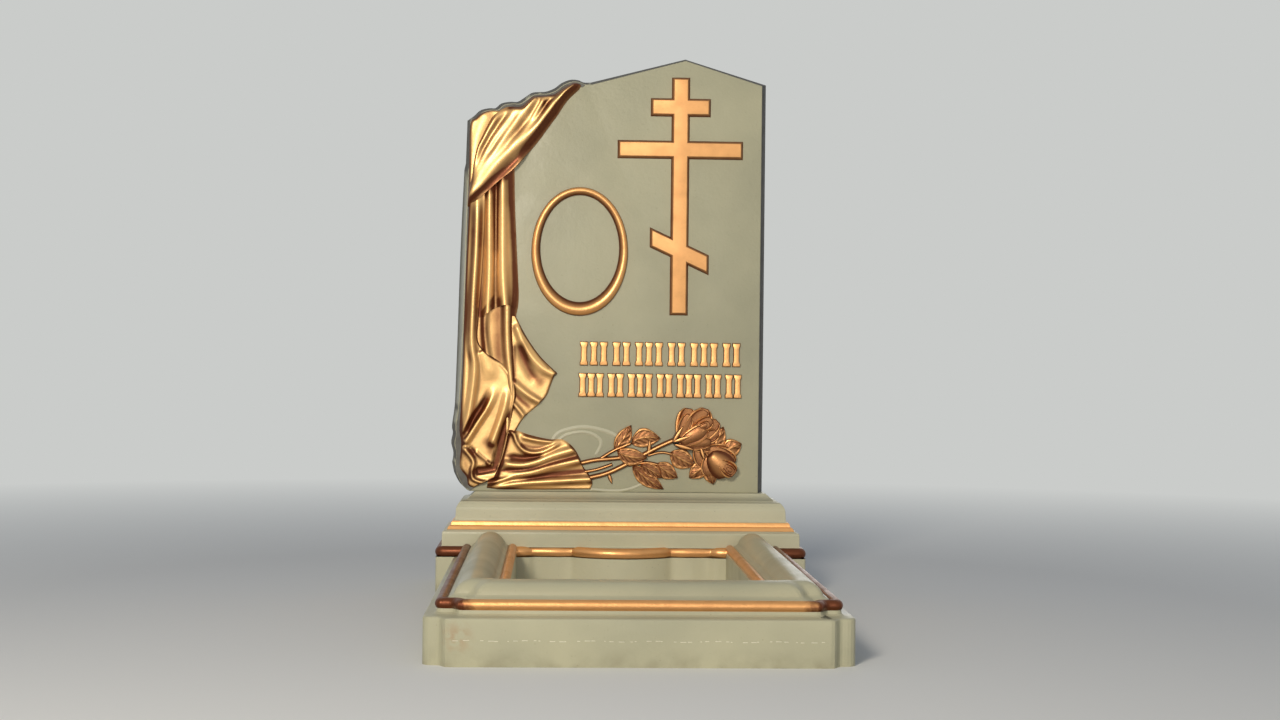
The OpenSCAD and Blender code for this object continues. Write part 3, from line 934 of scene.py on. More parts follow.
    def turned_corner(self) -> Patch:
        """The corner of cloth that flies out to the right."""
        return Patch(
            left=((-256, 400), (-257, 330), (-257, 250), (-262, 180), (-262, 132)),
            right=((-244, 399), (-225, 363), (-206, 333), (-184, 305), (-157, 279), (-149, 271), (-156, 262),
                   (-164, 241), (-171, 222), (-181, 208), (-200, 190), (-224, 168), (-243, 136)),
            base=6,
            ridges=(
                Fold(((-240, 372), (-224, 334), (-204, 304), (-182, 282), (-156, 268)), (11, 13), (7, 6)),
                Fold(((-246, 246), (-216, 222), (-186, 204)), (11, 10), (8, 7)),
                Fold(((-250, 204), (-234, 186), (-222, 170)), (7, 7), (7, 7)),
            ),
            grooves=(Fold(((-240, 340), (-220, 286), (-196, 246)), (14, 14), (4, 3), (0.2, 0.3)),),
            rolls=(0, 4, 0, 0), cells=(60, 120), soft=1,
            shade_bands=(
                Fold(((-236, 346), (-222, 300), (-200, 262), (-174, 240)), (15, 16), (0.75, 0.7), (0.15, 0.2)),
                Fold(((-246, 330), (-246, 250), (-250, 190)), (6, 7), (0.8, 0.8)),
                Fold(((-244, 222), (-222, 202), (-206, 190)), (8, 7), (0.75, 0.6), (0, 0.3)),
                Fold(((-226, 366), (-200, 322), (-168, 282)), (5, 4), (0.6, 0.6)),
            ),
        )

    def puddle(self) -> Patch:
        """The end of the cloth, which lies along the foot in long folds."""
        return Patch(
            left=((-306, 8), (-270, 5), (-200, 5), (-120, 6), (-71, 7)),
            right=((-300, 40), (-284, 84), (-264, 138), (-240, 139), (-208, 129), (-166, 120), (-134, 119),
                   (-110, 102), (-96, 80), (-88, 60), (-70, 36), (-65, 20), (-69, 8)),
            base=5,
            ridges=(
                Fold(((-262, 140), (-246, 132), (-238, 112), (-222, 94), (-198, 88), (-172, 94), (-138, 114)),
                     (6, 7), (9, 7), (0.05, 0.1)),
                Fold(((-232, 126), (-192, 117), (-150, 114)), (6, 6), (6, 5), (0.2, 0.2)),
                Fold(((-280, 64), (-228, 60), (-192, 68), (-156, 82), (-104, 98)), (12, 12), (10, 9), (0.15, 0)),
                Fold(((-280, 34), (-208, 43), (-160, 57), (-88, 74)), (12, 12), (9, 9), (0.25, 0)),
                Fold(((-342, 22), (-298, 20), (-254, 32), (-216, 44)), (8, 6), (11, 6), (0, 0.4)),
                Fold(((-296, 8), (-234, 18), (-154, 24), (-68, 30)), (8, 11), (6, 10), (0.2, 0)),
            ),
            grooves=(
                Fold(((-256, 80), (-214, 76), (-176, 84)), (8, 6), (3, 2), (0.2, 0.3)),
                Fold(((-262, 150), (-274, 104), (-292, 40)), (12, 14), (9, 9)),
            ),
            rolls=(3, 4, 0, 0), cells=(70, 190), soft=1, least=1,
            shade_bands=(
                Fold(((-280, 48), (-222, 50), (-176, 58), (-98, 82)), (7, 8), (0.85, 0.75)),
                Fold(((-240, 26), (-154, 40), (-76, 50)), (8, 9), (0.8, 0.9), (0.3, 0)),
                Fold(((-264, 82), (-214, 78), (-176, 86)), (9, 7), (0.8, 0.6), (0, 0.2)),
                Fold(((-256, 138), (-266, 100), (-278, 56), (-296, 20)), (13, 13), (0.95, 0.95)),
                Fold(((-232, 108), (-200, 101), (-166, 104)), (7, 6), (0.7, 0.5), (0.1, 0.2)),
            ),
        )

    def patches(self) -> Iterable[Patch]:
        """The whole cloth, the lowest patch first."""
        return (self.back_corner(), self.inner_column(), self.turned_corner(), self.puddle(), self.column(),
                self.fall(), self.swag())


@dataclass
class RoseSpray(Relief):
    """Two roses with their leaves and stems.

    Attributes:
        stems: each stem's path and radius.
    """

    name = "rose_spray"
    stems: tuple[tuple[Path, float], ...] = (
        (((-92, 66), (-60, 73), (-30, 76), (10, 80)), 5.5),
        (((-76, 32), (-36, 42), (0, 58), (40, 80), (84, 104), (128, 124)), 6.0),
        (((-48, 76), (-16, 96), (22, 112)), 4.0),
        (((-84, 46), (-54, 52), (-20, 64)), 4.0),
        (((16, 62), (60, 68), (96, 60)), 4.0),
        (((60, 84), (92, 92), (124, 86)), 3.5),
    )

    def stem(self, path: Path, radius: float) -> Patch:
        """A round stem along a path."""
        left, right = beside(smooth_path(path, 16), radius)
        return Patch(left, right, 2, (Fold(path, (1.25 * radius,) * 2, (1.3 * radius,) * 2),),
                     rolls=(1.5, 1.5, 1.5, 1.5), cells=(8, 60), foot=0.5)

    def leaves(self) -> list[Leaf]:
        """The leaves, the lowest first."""
        look = {"rim": 1.8, "tarnish": 0.74}
        return [
            Leaf.grow((-16, 98), (22, 154), (14, 20), 4, dome=3, veins=5, **look),
            Leaf.grow((22, 112), (90, 124), (30, 14), 4, dome=3, veins=7, **look),
            Leaf.grow((26, 62), (98, 8), (14, 22), 3, dome=3, veins=8, **look),
            Leaf.grow((80, 66), (130, 34), (18, 20), 4, dome=5, veins=5, **look),
            Leaf.grow((44, 64), (96, 34), (16, 14), 7, dome=3, veins=7, **look),
            Leaf.grow((-10, 94), (60, 80), (14, 26), 8, dome=4, veins=8, **look),
            Leaf.grow((112, 92), (168, 62), (22, 24), 4, dome=4, veins=7, **look),
            Leaf.grow((210, 100), (234, 152), (18, 18), 4, dome=4, veins=4, **look),
            Leaf.grow((234, 94), (276, 114), (22, 20), 4, dome=4, veins=4, **look),
            Leaf.grow((62, 82), (66, 126), (5, 5), 6, dome=3, tarnish=0.2),
            Leaf.grow((-30, 44), (-20, 18), (5, 4), 3, dome=2, tarnish=0.3),
            Leaf.grow((198, 66), (156, 34), (18, 20), 4, dome=5, veins=4, **look),
            Leaf.grow((200, 58), (212, 20), (16, 16), 5, dome=5, veins=3, **look),
        ]

    def petals(self) -> list[Leaf]:
        """The petals and sepals of both blooms, the lowest first."""
        cup = {"blunt": True, "rim": 3.5, "tarnish": 0.78}
        sepal = {"dome": 4, "tarnish": 0.1}
        return [
            Leaf.grow((140, 112), (152, 194), (24, 30), 6, dome=0, **cup),
            Leaf.grow((166, 112), (192, 194), (26, 26), 7, dome=0, **cup),
            Leaf.grow((170, 114), (222, 164), (24, 18), 7, dome=0, **cup),
            Leaf.grow((168, 118), (222, 140), (16, 20), 8, dome=1, **cup),
            Leaf.grow((148, 112), (206, 104), (22, 16), 8, dome=4, **cup),
            Leaf.grow((148, 132), (196, 186), (26, 14), 12, dome=0, **cup),
            Leaf.grow((134, 124), (156, 180), (18, 16), 13, dome=2, **cup),
            Leaf.grow((160, 138), (208, 168), (20, 16), 15, dome=1, **cup),
            Leaf.grow((170, 146), (202, 160), (12, 12), 19, dome=0, **cup),
            Leaf.grow((178, 150), (196, 158), (6, 6), 22, dome=1, **cup),
            Leaf.grow((134, 116), (194, 152), (18, 26), 15, dome=7, **cup),
            Leaf.grow((132, 112), (206, 118), (16, 18), 13, dome=5, **cup),
            Leaf.grow((116, 116), (166, 134), (6, 6), 19, **sepal),
            Leaf.grow((116, 114), (142, 156), (6, 6), 17, **sepal),
            Leaf.grow((118, 112), (170, 98), (6, 6), 17, **sepal),
            Leaf.grow((172, 106), (194, 60), (18, 20), 6, dome=3, **cup),
            Leaf.grow((190, 100), (248, 98), (16, 24), 7, dome=3, **cup),
            Leaf.grow((212, 100), (260, 68), (22, 22), 8, dome=2, **cup),
            Leaf.grow((198, 84), (206, 38), (18, 22), 9, dome=4, **cup),
            Leaf.grow((202, 90), (250, 44), (33, 33), 11, dome=13, blunt=True, tarnish=0.58),
            Leaf.grow((226, 72), (260, 44), (20, 20), 22, dome=0, **cup),
            Leaf.grow((234, 65), (257, 47), (13, 13), 24, dome=0, **cup),
            Leaf.grow((240, 60), (253, 50), (6, 6), 27, dome=1, **cup),
            Leaf.grow((180, 106), (190, 74), (6, 5), 17, **sepal),
        ]

    def patches(self) -> Iterable[Patch]:
        """The stems, the leaves and the petals, the lowest first."""
        return [self.stem(*stem) for stem in self.stems] + self.leaves() + self.petals()


@dataclass
class Cross(Relief):
    """The three-bar cross in flat relief.

    Attributes:
        centre_x: its distance right of the middle, in mm.
        top: height of its upper end, in mm.
        length: its upright's length, in mm.
        bar: width of its upright and bars, in mm.
        rise: how far it stands out, in mm.
        draft: how far its sides lean in, in mm.
        edge: how far its top edge is rounded, in mm.
        short_bar: length and lower edge's drop of the upper bar.
        long_bar: length and lower edge's drop of the main bar.
        foot_bar: reach to each side, drop and slope of the slanting bar.
    """

    name = "cross"
    centre_x: float = 128
    top: float = 951
    length: float = 545
    bar: float = 42
    rise: float = 10
    draft: float = 5.5
    edge: float = 1.2
    short_bar: Point = (138, 90)
    long_bar: Point = (288, 187)
    foot_bar: tuple[float, float, float] = (68, 398, 0.46)

    def outline(self) -> list[Point]:
        """Its outline, clockwise from the top left."""
        half, reach, slope = self.bar / 2, self.foot_bar[0], self.foot_bar[2]
        middle = self.top - self.foot_bar[1]

        def side(sign: int) -> list[Point]:
            """One side's corners from the top down, at a sign of 1 or -1."""
            corners = [(half, self.top)]
            for span, drop in (self.short_bar, self.long_bar):
                low = self.top - drop
                corners += [(half, low + self.bar), (span / 2, low + self.bar), (span / 2, low), (half, low)]
            for x, lift in ((half, half), (reach, half), (reach, -half), (half, -half)):
                corners.append((x, middle - sign * slope * x + 1.1 * lift))
            corners.append((half, self.top - self.length))
            return [(self.centre_x + sign * x, z) for x, z in corners]

        return side(1) + side(-1)[::-1]

    def shape(self, bm: BMesh) -> None:
        """Adds the cross to a mesh."""
        self.face.add_raised(bm, self.outline(), self.rise, self.draft, self.edge)


@dataclass
class OvalFrame(Relief):
    """The frame round the medallion's seat, heavier at its foot.

    Attributes:
        centre: its centre, in mm.
        opening: width and height of the clear seat, in mm.
        width: the frame's width at its top, in mm.
        swell: how much wider it is at its foot, in mm.
        section: share of the width out from the seat, and height in mm.
    """

    name = "oval_frame"
    centre: Point = (-100, 556)
    opening: Point = (180, 244)
    width: float = 19
    swell: float = 13
    section: Path = ((0, -3), (0.0, 2), (0.1, 6), (0.32, 10.5), (0.52, 12.5), (0.7, 12), (0.86, 8.5), (0.97, 3.5),
                     (1.0, -3))

    def shape(self, bm: BMesh) -> None:
        """Adds the frame: its section is spun round, and the ring is drawn out to the oval.

        Args:
            bm: the mesh.
        """
        tone = kept_layer(bm.verts.layers.float, SHADE_AND_TARNISH)
        # Painted shade: the section's inner and outer walls are marked dark and its crest bright.
        shades = (1, 1, 1, 0.55, 0.05, 0, 0.15, 0.9, 1)
        ring = [bm.verts.new((1 + share, -height, 0)) for share, height in self.section]
        for vert, shade in zip(ring, shades):
            vert[tone] = shade
        loop = [bm.edges.new((a, b)) for a, b in zip(ring, ring[1:] + ring[:1])]
        bmesh.ops.spin(bm, geom=ring + loop, cent=(0, 0, 0), axis=(0, 1, 0), angle=2 * math.pi, steps=120,
                       use_merge=True, use_duplicate=False)
        a, b = self.opening[0] / 2, self.opening[1] / 2
        for vert in bm.verts:
            turn = math.atan2(vert.co.z, vert.co.x)
            share, height = math.hypot(vert.co.x, vert.co.z) - 1, -vert.co.y
            heavy = ((1 - math.sin(turn)) / 2) ** 3
            wide = self.width + self.swell * heavy
            out = Vector((b * math.cos(turn), a * math.sin(turn))).normalized() * share * wide
            x = self.centre[0] + a * math.cos(turn) + out.x
            z = self.centre[1] + b * math.sin(turn) + out.y
            vert.co = self.face.at(x, z, height * (1 + 0.25 * heavy) if height > 0 else height)


@dataclass
class StrokeRows(Relief):
    """Two rows of plain upright strokes with flared ends, where an inscription would stand.

    Attributes:
        rows: each row's first x, last x, lowest z and number of strokes, in mm.
        height: a stroke's height, in mm.
        rise: how far they stand out, in mm.
        draft: how far their sides lean in, in mm.
        edge: how far their top edges are rounded, in mm.
        words: how many strokes stand close together, in turn.
        gap: the extra space between two words, in mm.
        half_widths: a stroke's half-width at its ends and at its waist, in mm.
        flare: how far from each end the flare starts and stops, in mm.
    """

    name = "stroke_rows"
    rows: tuple[tuple[float, float, float, int], ...] = ((-99, 273, 289, 15), (-100, 275, 217, 17))
    height: float = 55
    rise: float = 6
    draft: float = 1.5
    edge: float = 0.7
    words: tuple[int, ...] = (3, 2)
    gap: float = 6.5
    half_widths: Point = (9.6, 7.2)
    flare: Point = (7, 13)

    def shape(self, bm: BMesh) -> None:
        """Adds both rows.

        Args:
            bm: the mesh.
        """
        h, (tip, waist), (first, last) = self.height, self.half_widths, self.flare
        half = ((tip, 0), (tip, first), (waist, last), (waist, h - last), (tip, h - first), (tip, h))
        for start, end, low, count in self.rows:
            starts = {sum(self.words[k % 2] for k in range(n)) for n in range(1, count)}
            pitch = (end - start - self.gap * len([n for n in starts if n < count])) / count
            for i in range(count):
                x = start + (i + 0.5) * pitch + self.gap * len([n for n in starts if n <= i])
                outline = [(x + dx, low + dz) for dx, dz in half] + [(x - dx, low + dz) for dx, dz in half[::-1]]
                self.face.add_raised(bm, outline, self.rise, self.draft, self.edge)


@dataclass
class Swirl(Relief):
    """The faint unpainted ridges that curl between the cloth and the roses.

    Attributes:
        ridges: each ridge's path and its half-width, in mm.
        height: a ridge's height at its two ends, in mm.
    """

    name = "unpainted_swirl"
    slot = Slot.ENAMEL
    ridges: tuple[tuple[Path, float], ...] = (
        (((-158, 116), (-141, 136), (-95, 148), (-49, 143), (-10, 128), (6, 108)), 4.6),
        (((-150, 112), (-126, 130), (-88, 137), (-60, 129), (-46, 112), (-58, 84)), 4.0),
        (((-70, 6), (-20, 3), (14, 6), (46, 18), (60, 30)), 3.4),
    )
    height: Point = (3.0, 2.4)

    def patches(self) -> Iterable[Patch]:
        """One patch for each ridge."""
        for path, wide in self.ridges:
            fold = Fold(path, (wide, wide), self.height)
            yield Patch(*beside(smooth_path(path, 24), wide), 0.1, (fold,), least=0, rolls=(0, 0, 6, 6), cells=(10, 90),
                        foot=-0.4)


@dataclass
class Plinth:
    """The moulded plinth: a bowed body, a painted roll that follows it, and stepped mouldings above.

    Attributes:
        box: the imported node's lowest and highest corners, in metres.
        body_h: height of the plain body, in mm.
        roll: the painted roll's radius, in mm.
        bow: chord and swell of the bow, in mm.
        panel: width and depth of each sunk panel, in mm.
        depth: from its flat face to its back, in mm.
        corner_round: radius of its front corners, in mm.
        roll_proud: how much larger the painted roll is than its seat, in mm.
        steps: the mouldings' section: distance in from the body's face, and height, in mm.
    """

    box: tuple[Vector, Vector]
    body_h: float = 83
    roll: float = 11
    bow: Point = (226, 45)
    panel: Point = (94, 12)
    depth: float = 280
    corner_round: float = 6
    roll_proud: float = 2
    steps: Path = ((11, 105), (12.5, 108), (13, 134), (14, 138), (17, 139), (24, 142), (25.5, 144), (27, 148),
                   (30, 150), (33, 151), (34, 157), (36, 160), (40, 163), (41, 166), (42, 186), (43, 191),
                   (46, 197), (51, 203), (53, 204.5), (64, 207), (67, 209), (82, 223), (83, 224))

    def front(self) -> float:
        """The plane of the body's face, in mm."""
        return self.box[1].y / MM - self.depth

    def half_plan(self, inward: float) -> list[Point]:
        """The right half of the body's plan, from the middle of the bow to the back.

        Args:
            inward: how far inside the body's face it runs, in mm.

        Returns:
            Its points, in mm.
        """
        chord, swell = self.bow
        radius = (chord * chord / 4 + swell * swell) / (2 * swell)
        y0 = self.front()
        reach = math.degrees(math.asin(chord / 2 / radius))
        centre = (0, y0 + self.panel[1] - swell + radius)
        bowed = arc(centre, radius - inward, -90, -90 + reach - 6, 16)
        niche = chord / 2 + self.panel[0]
        panel_y, half = y0 + self.panel[1] + inward, (self.box[1].x - self.box[0].x) / MM / 2
        last = bowed[-1]
        corner = self.corner_round + inward
        sunk = ((last[0], last[1]), (last[0] + 12, panel_y - 2), (last[0] + 26, panel_y - 0.5),
                ((last[0] + niche) / 2, panel_y - 3), (niche - 26 + inward, panel_y - 0.5),
                (niche - 12 + inward, panel_y - 1.5), (niche + inward, y0 + inward + 3),
                (niche + 12 + inward, y0 + inward))
        return [
            *bowed, *map(tuple, smooth_path(sunk, 30)[1:]),
            *arc((half - corner, y0 + corner), corner - inward, -90, 0, 6),
            (half - inward, self.box[1].y / MM - inward),
        ]

    def plan(self, inward: float) -> list[Point]:
        """The whole plan of the body, so far inside its face."""
        right = self.half_plan(inward)
        return right + [(-x, y) for x, y in right[:0:-1]]

    def build(self, enamel: Material, copper: Material, side_shaded_copper: Material) -> None:
        """Builds the casting, the roll and the painted cove.

        Args:
            enamel: the casting's finish.
            copper: the cove's finish.
            side_shaded_copper: the roll's finish, with painted shade on its sides.
        """
        bm = bmesh.new()
        floor = bm.faces.new([bm.verts.new((x * MM, y * MM, 0)) for x, y in self.plan(0)])
        top = self.lift(bm, floor, self.body_h, self.plan(0))
        top = self.lift(bm, top, self.body_h, self.plan(self.roll))
        self.lift(bm, top, self.body_h + 2 * self.roll, self.plan(self.roll))
        self.mouldings(bm)
        casting = make_piece(bm, "plinth_casting", enamel, Slot.ENAMEL)
        soften(casting, 1.2)
        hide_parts("plinth")
        self.build_roll(side_shaded_copper)
        self.build_cove(copper)

    def lift(self, bm: BMesh, face: BMFace, z: float, plan: list[Point]) -> BMFace:
        """Extrudes a face to a height and onto another plan with as many points.

        Args:
            bm: the mesh.
            face: the face to extrude.
            z: its new height, in mm.
            plan: its new plan, in mm.

        Returns:
            The new face.
        """
        order = kept_layer(bm.verts.layers.int, ORDER)
        if not any(v[order] for v in face.verts):
            for i, vert in enumerate(face.verts):
                vert[order] = i
        lifted = extruded(bm, face)
        for vert in lifted.verts:
            x, y = plan[vert[order]]
            vert.co = (x * MM, y * MM, z * MM)
        return lifted

    def rectangle(self, inward: float) -> list[Point]:
        """The plan of the mouldings, so far inside the body's face."""
        half = (self.box[1].x - self.box[0].x) / MM / 2 - inward
        return [(-half, self.front() + inward), (half, self.front() + inward),
                (half, self.box[1].y / MM - inward), (-half, self.box[1].y / MM - inward)]

    def mouldings(self, bm: BMesh) -> None:
        """Adds the stepped mouldings over the body."""
        low = self.body_h + 2 * self.roll - 1
        face = bm.faces.new([bm.verts.new((x * MM, y * MM, low * MM)) for x, y in self.rectangle(self.steps[0][0])])
        for inward, z in self.steps:
            face = self.lift(bm, face, z, self.rectangle(inward))

    def build_roll(self, copper: Material) -> None:
        """Builds the painted roll that follows the front and the sides."""
        path = self.half_plan(self.roll)
        line = [(-x, y) for x, y in path[:0:-1]] + path
        curve = bpy.data.curves.new("plinth_roll_line", "CURVE")
        curve.dimensions = "3D"
        curve.bevel_depth = (self.roll + self.roll_proud) * MM
        curve.bevel_resolution = 8
        curve.use_fill_caps = True
        spline = curve.splines.new("POLY")
        spline.points.add(len(line) - 1)
        for point, (x, y) in zip(spline.points, line):
            point.co = (x * MM, y * MM, (self.body_h + self.roll - 0.5) * MM, 1)
        rod = add_object("plinth_roll_line", curve)
        bm = bmesh.new()
        bm.from_mesh(rod.to_mesh())
        bpy.data.objects.remove(rod)
        bmesh.ops.remove_doubles(bm, verts=bm.verts, dist=WELD)
        make_piece(bm, "plinth_roll", copper, Slot.COPPER)

    def build_cove(self, copper: Material) -> None:
        """Builds the painted cove: a thin coat over two small steps of the front and sides."""
        bm = bmesh.new()
        half, y0, back = self.box[1].x / MM, self.front(), self.box[1].y / MM
        coat = ((23.2, 142.6), (24.6, 144.4), (26.2, 148.6), (29.5, 150.8), (32.2, 151.8), (33.2, 157.6), (35.6, 161),
                (38, 161), (38, 142.6))
        stations = (lambda k: (-half + k, back - 40), lambda k: (-half + k, y0 + k),
                    lambda k: (half - k, y0 + k), lambda k: (half - k, back - 40))
        sweep(bm, coat, stations)
        make_piece(bm, "plinth_cove", copper, Slot.COPPER)


@dataclass
class FlowerBed:
    """The U-shaped surround: a plain panel, a painted roll, a half-round rail and an inner roll.

    Attributes:
        box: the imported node's lowest and highest corners, in metres.
        breakfront: how far the middle of the front stands ahead of its corners, in mm.
        corner: width of each set-back corner, in mm.
        wall: width of the wall, in mm.
        corner_round: radius of the outer corners, in mm.
        rail: the half-round rail's place in from the outer face, height and radius, in mm.
        lead_fade: how far in the breakfront has died away, and over what width, in mm.
        jog_reach: how far in the breakfront's jogs run square, in mm.
        jogs: how far past the jog each station lies, in mm, and its share of the breakfront.
        rolls: each roll's name, the middle of its section and its radius, in mm.
        seam: the casting seam's first x, last x, pitch and height, in mm.
    """

    box: tuple[Vector, Vector]
    breakfront: float = 21
    corner: float = 35
    wall: float = 140
    corner_round: float = 16
    rail: Place = (82, 107, 33)
    lead_fade: Point = (98, 30)
    jog_reach: float = 90
    jogs: Path = ((-10, 0), (-6, 0.07), (-2, 0.3), (2, 0.68), (6, 0.92), (12, 1))
    rolls: tuple[tuple[str, Point, float], ...] = (
        ("bed_outer_roll", (30, 102), 10.5), ("bed_inner_roll", (131.5, 103.5), 10)
    )
    seam: tuple[float, float, float, float] = (-322, 330, 15, 45)

    def section(self) -> list[Point]:
        """The wall's section: distance in from the outer face, and height."""
        middle, level, radius = self.rail
        rail = [(middle - (x - middle), z) for x, z in arc((middle, level), radius, 18, 162, 22)]
        return [
            (0, 0), (0, 78), (0.6, 81.5), (3, 83.2), (10, 84), (18, 86), (21.5, 88.5), (22.5, 94), (25, 96), (33, 99),
            (43, 112), (46.5, 113.5), (48.5, 115), *rail, (115.5, 115), (117.5, 113.5), (121, 112), (131, 99),
            (138.5, 95), (self.wall, 93), (self.wall, 0),
        ]

    def stations(self) -> list[Callable[[float], Point]]:
        """The places along the wall, from the back of its left side round to the back of its right side."""
        half = self.box[1].x / MM
        front, back = self.box[0].y / MM + self.breakfront, self.box[1].y / MM

        def lead(inward: float) -> float:
            """How far the middle leads at a point so far in."""
            return self.breakfront * min(1, max(0, (self.lead_fade[0] - inward) / self.lead_fade[1]))

        def rounded(turn: float) -> Callable[[float], Point]:
            """A station on the rounded corner."""

            def place(inward: float) -> Point:
                """The point so far in."""
                radius = max(0.8, self.corner_round - 0.12 * inward)
                return (-half + inward + radius * (1 - math.cos(turn)), front + inward + radius * (1 - math.sin(turn)))

            return place

        def jog(x: float, share: float) -> Callable[[float], Point]:
            """A station at the breakfront."""
            return lambda inward: (
                x - half + self.corner + min(inward, self.jog_reach), front + inward - share * lead(inward)
            )

        left = [lambda inward: (-half + inward, back)]
        left += [rounded(math.radians(a)) for a in (0, 22, 45, 68, 90)]
        left += [jog(x, share) for x, share in self.jogs]

        def mirrored(place: Callable[[float], Point]) -> Callable[[float], Point]:
            """The same station on the right."""
            return lambda inward: (-place(inward)[0], place(inward)[1])

        return left + [mirrored(place) for place in left[::-1]]

    def build(self, enamel: Material, copper: Material) -> None:
        """Builds the wall, both rolls and the casting seam.

        Args:
            enamel: the wall's finish.
            copper: the rolls' finish.
        """
        bm = bmesh.new()
        sweep(bm, self.section(), self.stations())
        bmesh.ops.remove_doubles(bm, verts=bm.verts, dist=WELD)
        wall = make_piece(bm, "flower_bed_wall", enamel, Slot.ENAMEL, crease=16.0)
        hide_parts("flower_bed")
        for name, centre, radius in self.rolls:
            bm = bmesh.new()
            sweep(bm, arc(centre, radius, 0, 345, 24), self.stations())
            bmesh.ops.remove_doubles(bm, verts=bm.verts, dist=WELD)
            make_piece(bm, name, copper, Slot.COPPER)
        # Painted highlight: the seam's dashes take a paler enamel, as glints along the seam.
        seam = EnamelledConcrete("seam_painted_glint", linear(232, 228, 206), linear(214, 210, 188))
        self.build_seam(seam.material())

    def build_seam(self, enamel: Material) -> None:
        """Builds the broken casting seam along the front panel."""
        panel = ReliefFace(self.box[0].y, 0.0)
        bm = bmesh.new()
        start, end, pitch, level = self.seam
        for i in range(int((end - start) / pitch)):
            x = start + i * pitch + 4 * math.sin(2.3 * i)
            run = 7 + 4 * math.sin(1.7 * i + 1)
            z = level + 0.9 * math.sin(0.9 * i)
            above, below = (((x, z + side * 0.8), (x + run, z + side * 0.6)) for side in (1, -1))
            panel.add_patch(bm, Patch(above, below, 0.6, least=0, rolls=(0.8, 0.8, 2, 2), cells=(4, 8), foot=-0.2))
        make_piece(bm, "casting_seam", enamel, Slot.ENAMEL)


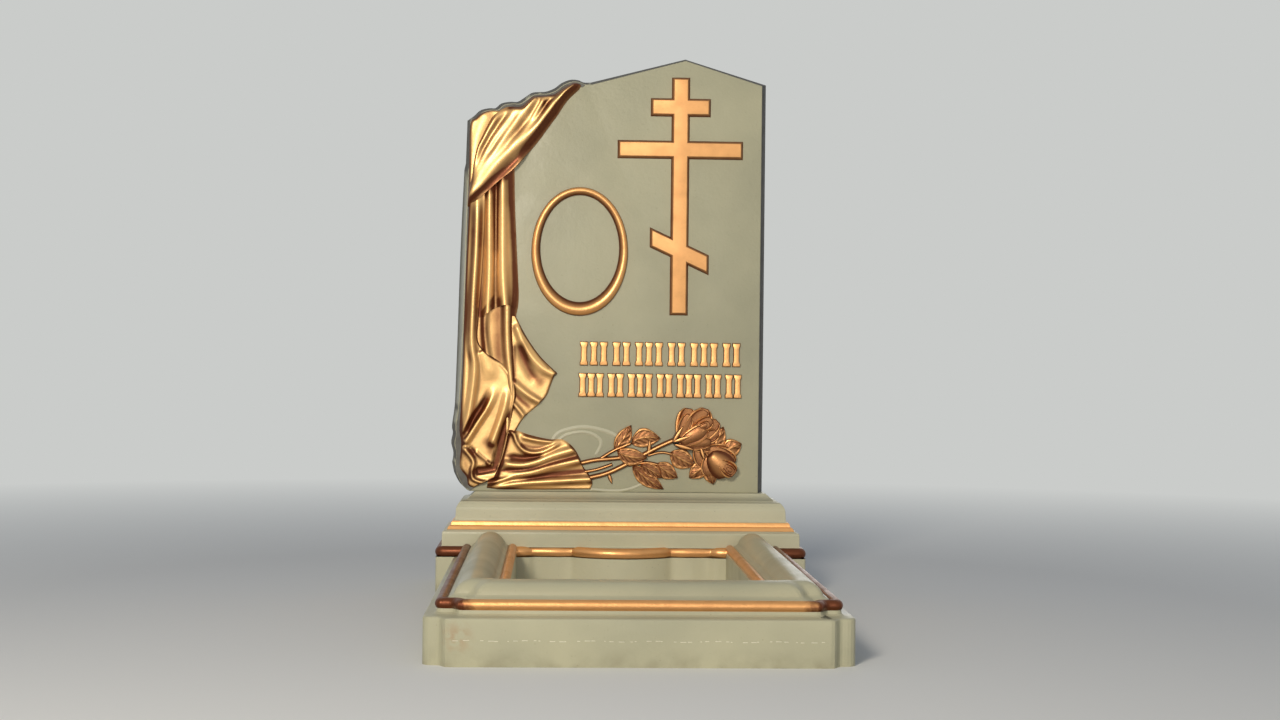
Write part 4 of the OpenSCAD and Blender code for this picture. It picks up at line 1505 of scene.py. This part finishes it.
@dataclass
class Studio:
    """The floor, the lamps, the pale surroundings and the camera.

    Attributes:
        background: the colour that the camera and reflections see behind the monument.
        fill: the dim colour that lights the monument from all round.
        fill_strength: how strong that light is.
        stand: where the camera stands, in metres.
        turns: how far it turns about the upright and about its own axis, in degrees.
        lens: its focal length, in mm.
    """

    background: Colour = linear(202, 204, 202)
    fill: Colour = linear(214, 226, 246)
    fill_strength: float = 0.26
    stand: Place = (-0.148, -3.871, 0.527)
    turns: Point = (-2.5, 0.64)
    lens: float = 53.16

    def seen(self, n: Nodes) -> NodeSocket:
        """Whether a ray comes from the camera, a reflection or glass."""
        rays = n.add("LightPath").outputs
        total = n.math("MAXIMUM", rays["Is Camera Ray"], rays["Is Glossy Ray"])
        return n.math("MAXIMUM", total, rays["Is Transmission Ray"])

    def surroundings(self) -> None:
        """Makes the world: pale where it is seen, and a dim fill as light."""
        world = bpy.data.worlds.new("surroundings")
        bpy.context.scene.world = world
        world.use_nodes = True
        n = Nodes(world.node_tree)
        fill = n.add("Background", {"Color": self.fill, "Strength": self.fill_strength})
        pale = n.add("Background", {"Color": self.background, "Strength": 1.0})
        mixed = n.add("MixShader", {0: self.seen(n), 1: fill.outputs[0], 2: pale.outputs[0]})
        n.add("OutputWorld", {"Surface": mixed.outputs[0]})

    def floor(self) -> None:
        """Makes the pale floor, which keeps the monument's shadow and fades into the surroundings."""
        bm = bmesh.new()
        bmesh.ops.create_circle(bm, cap_ends=True, radius=40.0, segments=96)
        mesh = bpy.data.meshes.new("floor")
        bm.to_mesh(mesh)
        bm.free()
        material, n, where = blank_material("floor")
        away = n.add("VectorMath", {0: where}, operation="LENGTH").outputs["Value"]
        matt = n.add("BsdfPrincipled", {"Base Color": linear(232, 232, 228), "Roughness": 0.9})
        glow = n.add("Emission", {"Color": self.background, "Strength": 1.0})
        share = n.math("MULTIPLY", n.ramp(away, 1.4, 4.5), self.seen(n))
        mixed = n.add("MixShader", {0: share, 1: matt.outputs[0], 2: glow.outputs[0]})
        n.add("OutputMaterial", {"Surface": mixed.outputs[0]})
        mesh.materials.append(material)
        floor = add_object("floor", mesh)

    def lamp(self, name: str, place: Place, aim: Place, size: Point, watts: float, colour: Colour) -> None:
        """Makes a soft area lamp.

        Args:
            name: its name.
            place: where it hangs, in metres.
            aim: the point that it faces.
            size: its width and height, in metres.
            watts: its power.
            colour: its colour.
        """
        light = bpy.data.lights.new(name, "AREA")
        light.shape = "RECTANGLE"
        light.size, light.size_y = size
        light.energy = watts
        light.color = colour[:3]
        lamp = add_object(name, light)
        lamp.location = place
        lamp.rotation_euler = (Vector(aim) - Vector(place)).to_track_quat("-Z", "Y").to_euler()
        lamp.visible_camera = False

    def camera(self) -> None:
        """Makes the camera: low, level and a little left of the middle."""
        optics = bpy.data.cameras.new("camera")
        optics.lens = self.lens
        optics.sensor_width = 36.0
        camera = add_object("camera", optics)
        pan, roll = (Matrix.Rotation(math.radians(turn), 4, "Z") for turn in self.turns)
        level = Matrix.Rotation(math.radians(90), 4, "X")
        camera.matrix_world = Matrix.Translation(self.stand) @ (pan @ level) @ roll
        bpy.context.scene.camera = camera

    def build(self) -> None:
        """Builds the whole studio."""
        warm, plain = linear(255, 246, 232), linear(255, 252, 246)
        self.surroundings()
        self.floor()
        self.lamp("key", (-1.5, -4.3, 2.4), (0, 0.4, 0.6), (0.9, 0.9), 134, warm)
        self.lamp("front_card", (-0.1, -6.2, 1.0), (0, 0.4, 0.7), (4.0, 2.6), 62, plain)
        self.lamp("back_fill", (1.0, 6.0, 1.0), (0, 0.4, 0.6), (3.0, 2.0), 26, plain)
        self.camera()
        bpy.context.scene.view_settings.view_transform = "Standard"


def main() -> None:
    """Builds the monument and its studio."""
    logging.basicConfig(level=logging.INFO, format="%(message)s")
    Studio().build()
    enamel = EnamelledConcrete().material()
    copper = CopperPaint().material()
    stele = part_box("stele")
    face = ReliefFace(stele[1].y - Slab.thickness * MM, stele[0].z)
    Slab(face).build(enamel)
    Drapery(face).build(CopperPaint("copper_paint_cloth", linear(255, 204, 134)).material())
    Cross(face).build(CopperPaint("copper_paint_cross", tarnish=0.04, roughness=(0.5, 0.6), metallic=0.4).material())
    for part in (RoseSpray(face), OvalFrame(face), StrokeRows(face)):
        part.build(copper)
    # Painted highlight: the swirl's ridges take a paler enamel, so that they read as lit lines.
    swirl = EnamelledConcrete("enamelled_concrete_swirl_painted_highlight", linear(212, 208, 182), linear(200, 196, 168))
    Swirl(face).build(swirl.material())
    # Painted light: the plinth takes a paler copy of the enamel, as if it caught more light than the slab.
    pale = EnamelledConcrete("enamelled_concrete_plinth_painted_light", linear(206, 201, 170), linear(194, 190, 160)).material()
    # Painted shade on the roll's ends and sides.
    side_shaded_copper = CopperPaint("copper_paint_plinth", shaded_beyond=0.345, tarnish=0.25).material()
    Plinth(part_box("plinth")).build(pale, CopperPaint("copper_paint_cove", tarnish=0.1).material(), side_shaded_copper)
    FlowerBed(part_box("flower_bed")).build(
        EnamelledConcrete("enamelled_concrete_bed", rust=(-0.315, -0.64, 0.05)).material(),
        # Painted shade on the rolls' corners and sides.
        CopperPaint("copper_paint_bed", shaded_beyond=0.305, tarnish=0.35).material(),
    )


if __name__ == "__main__":
    main()
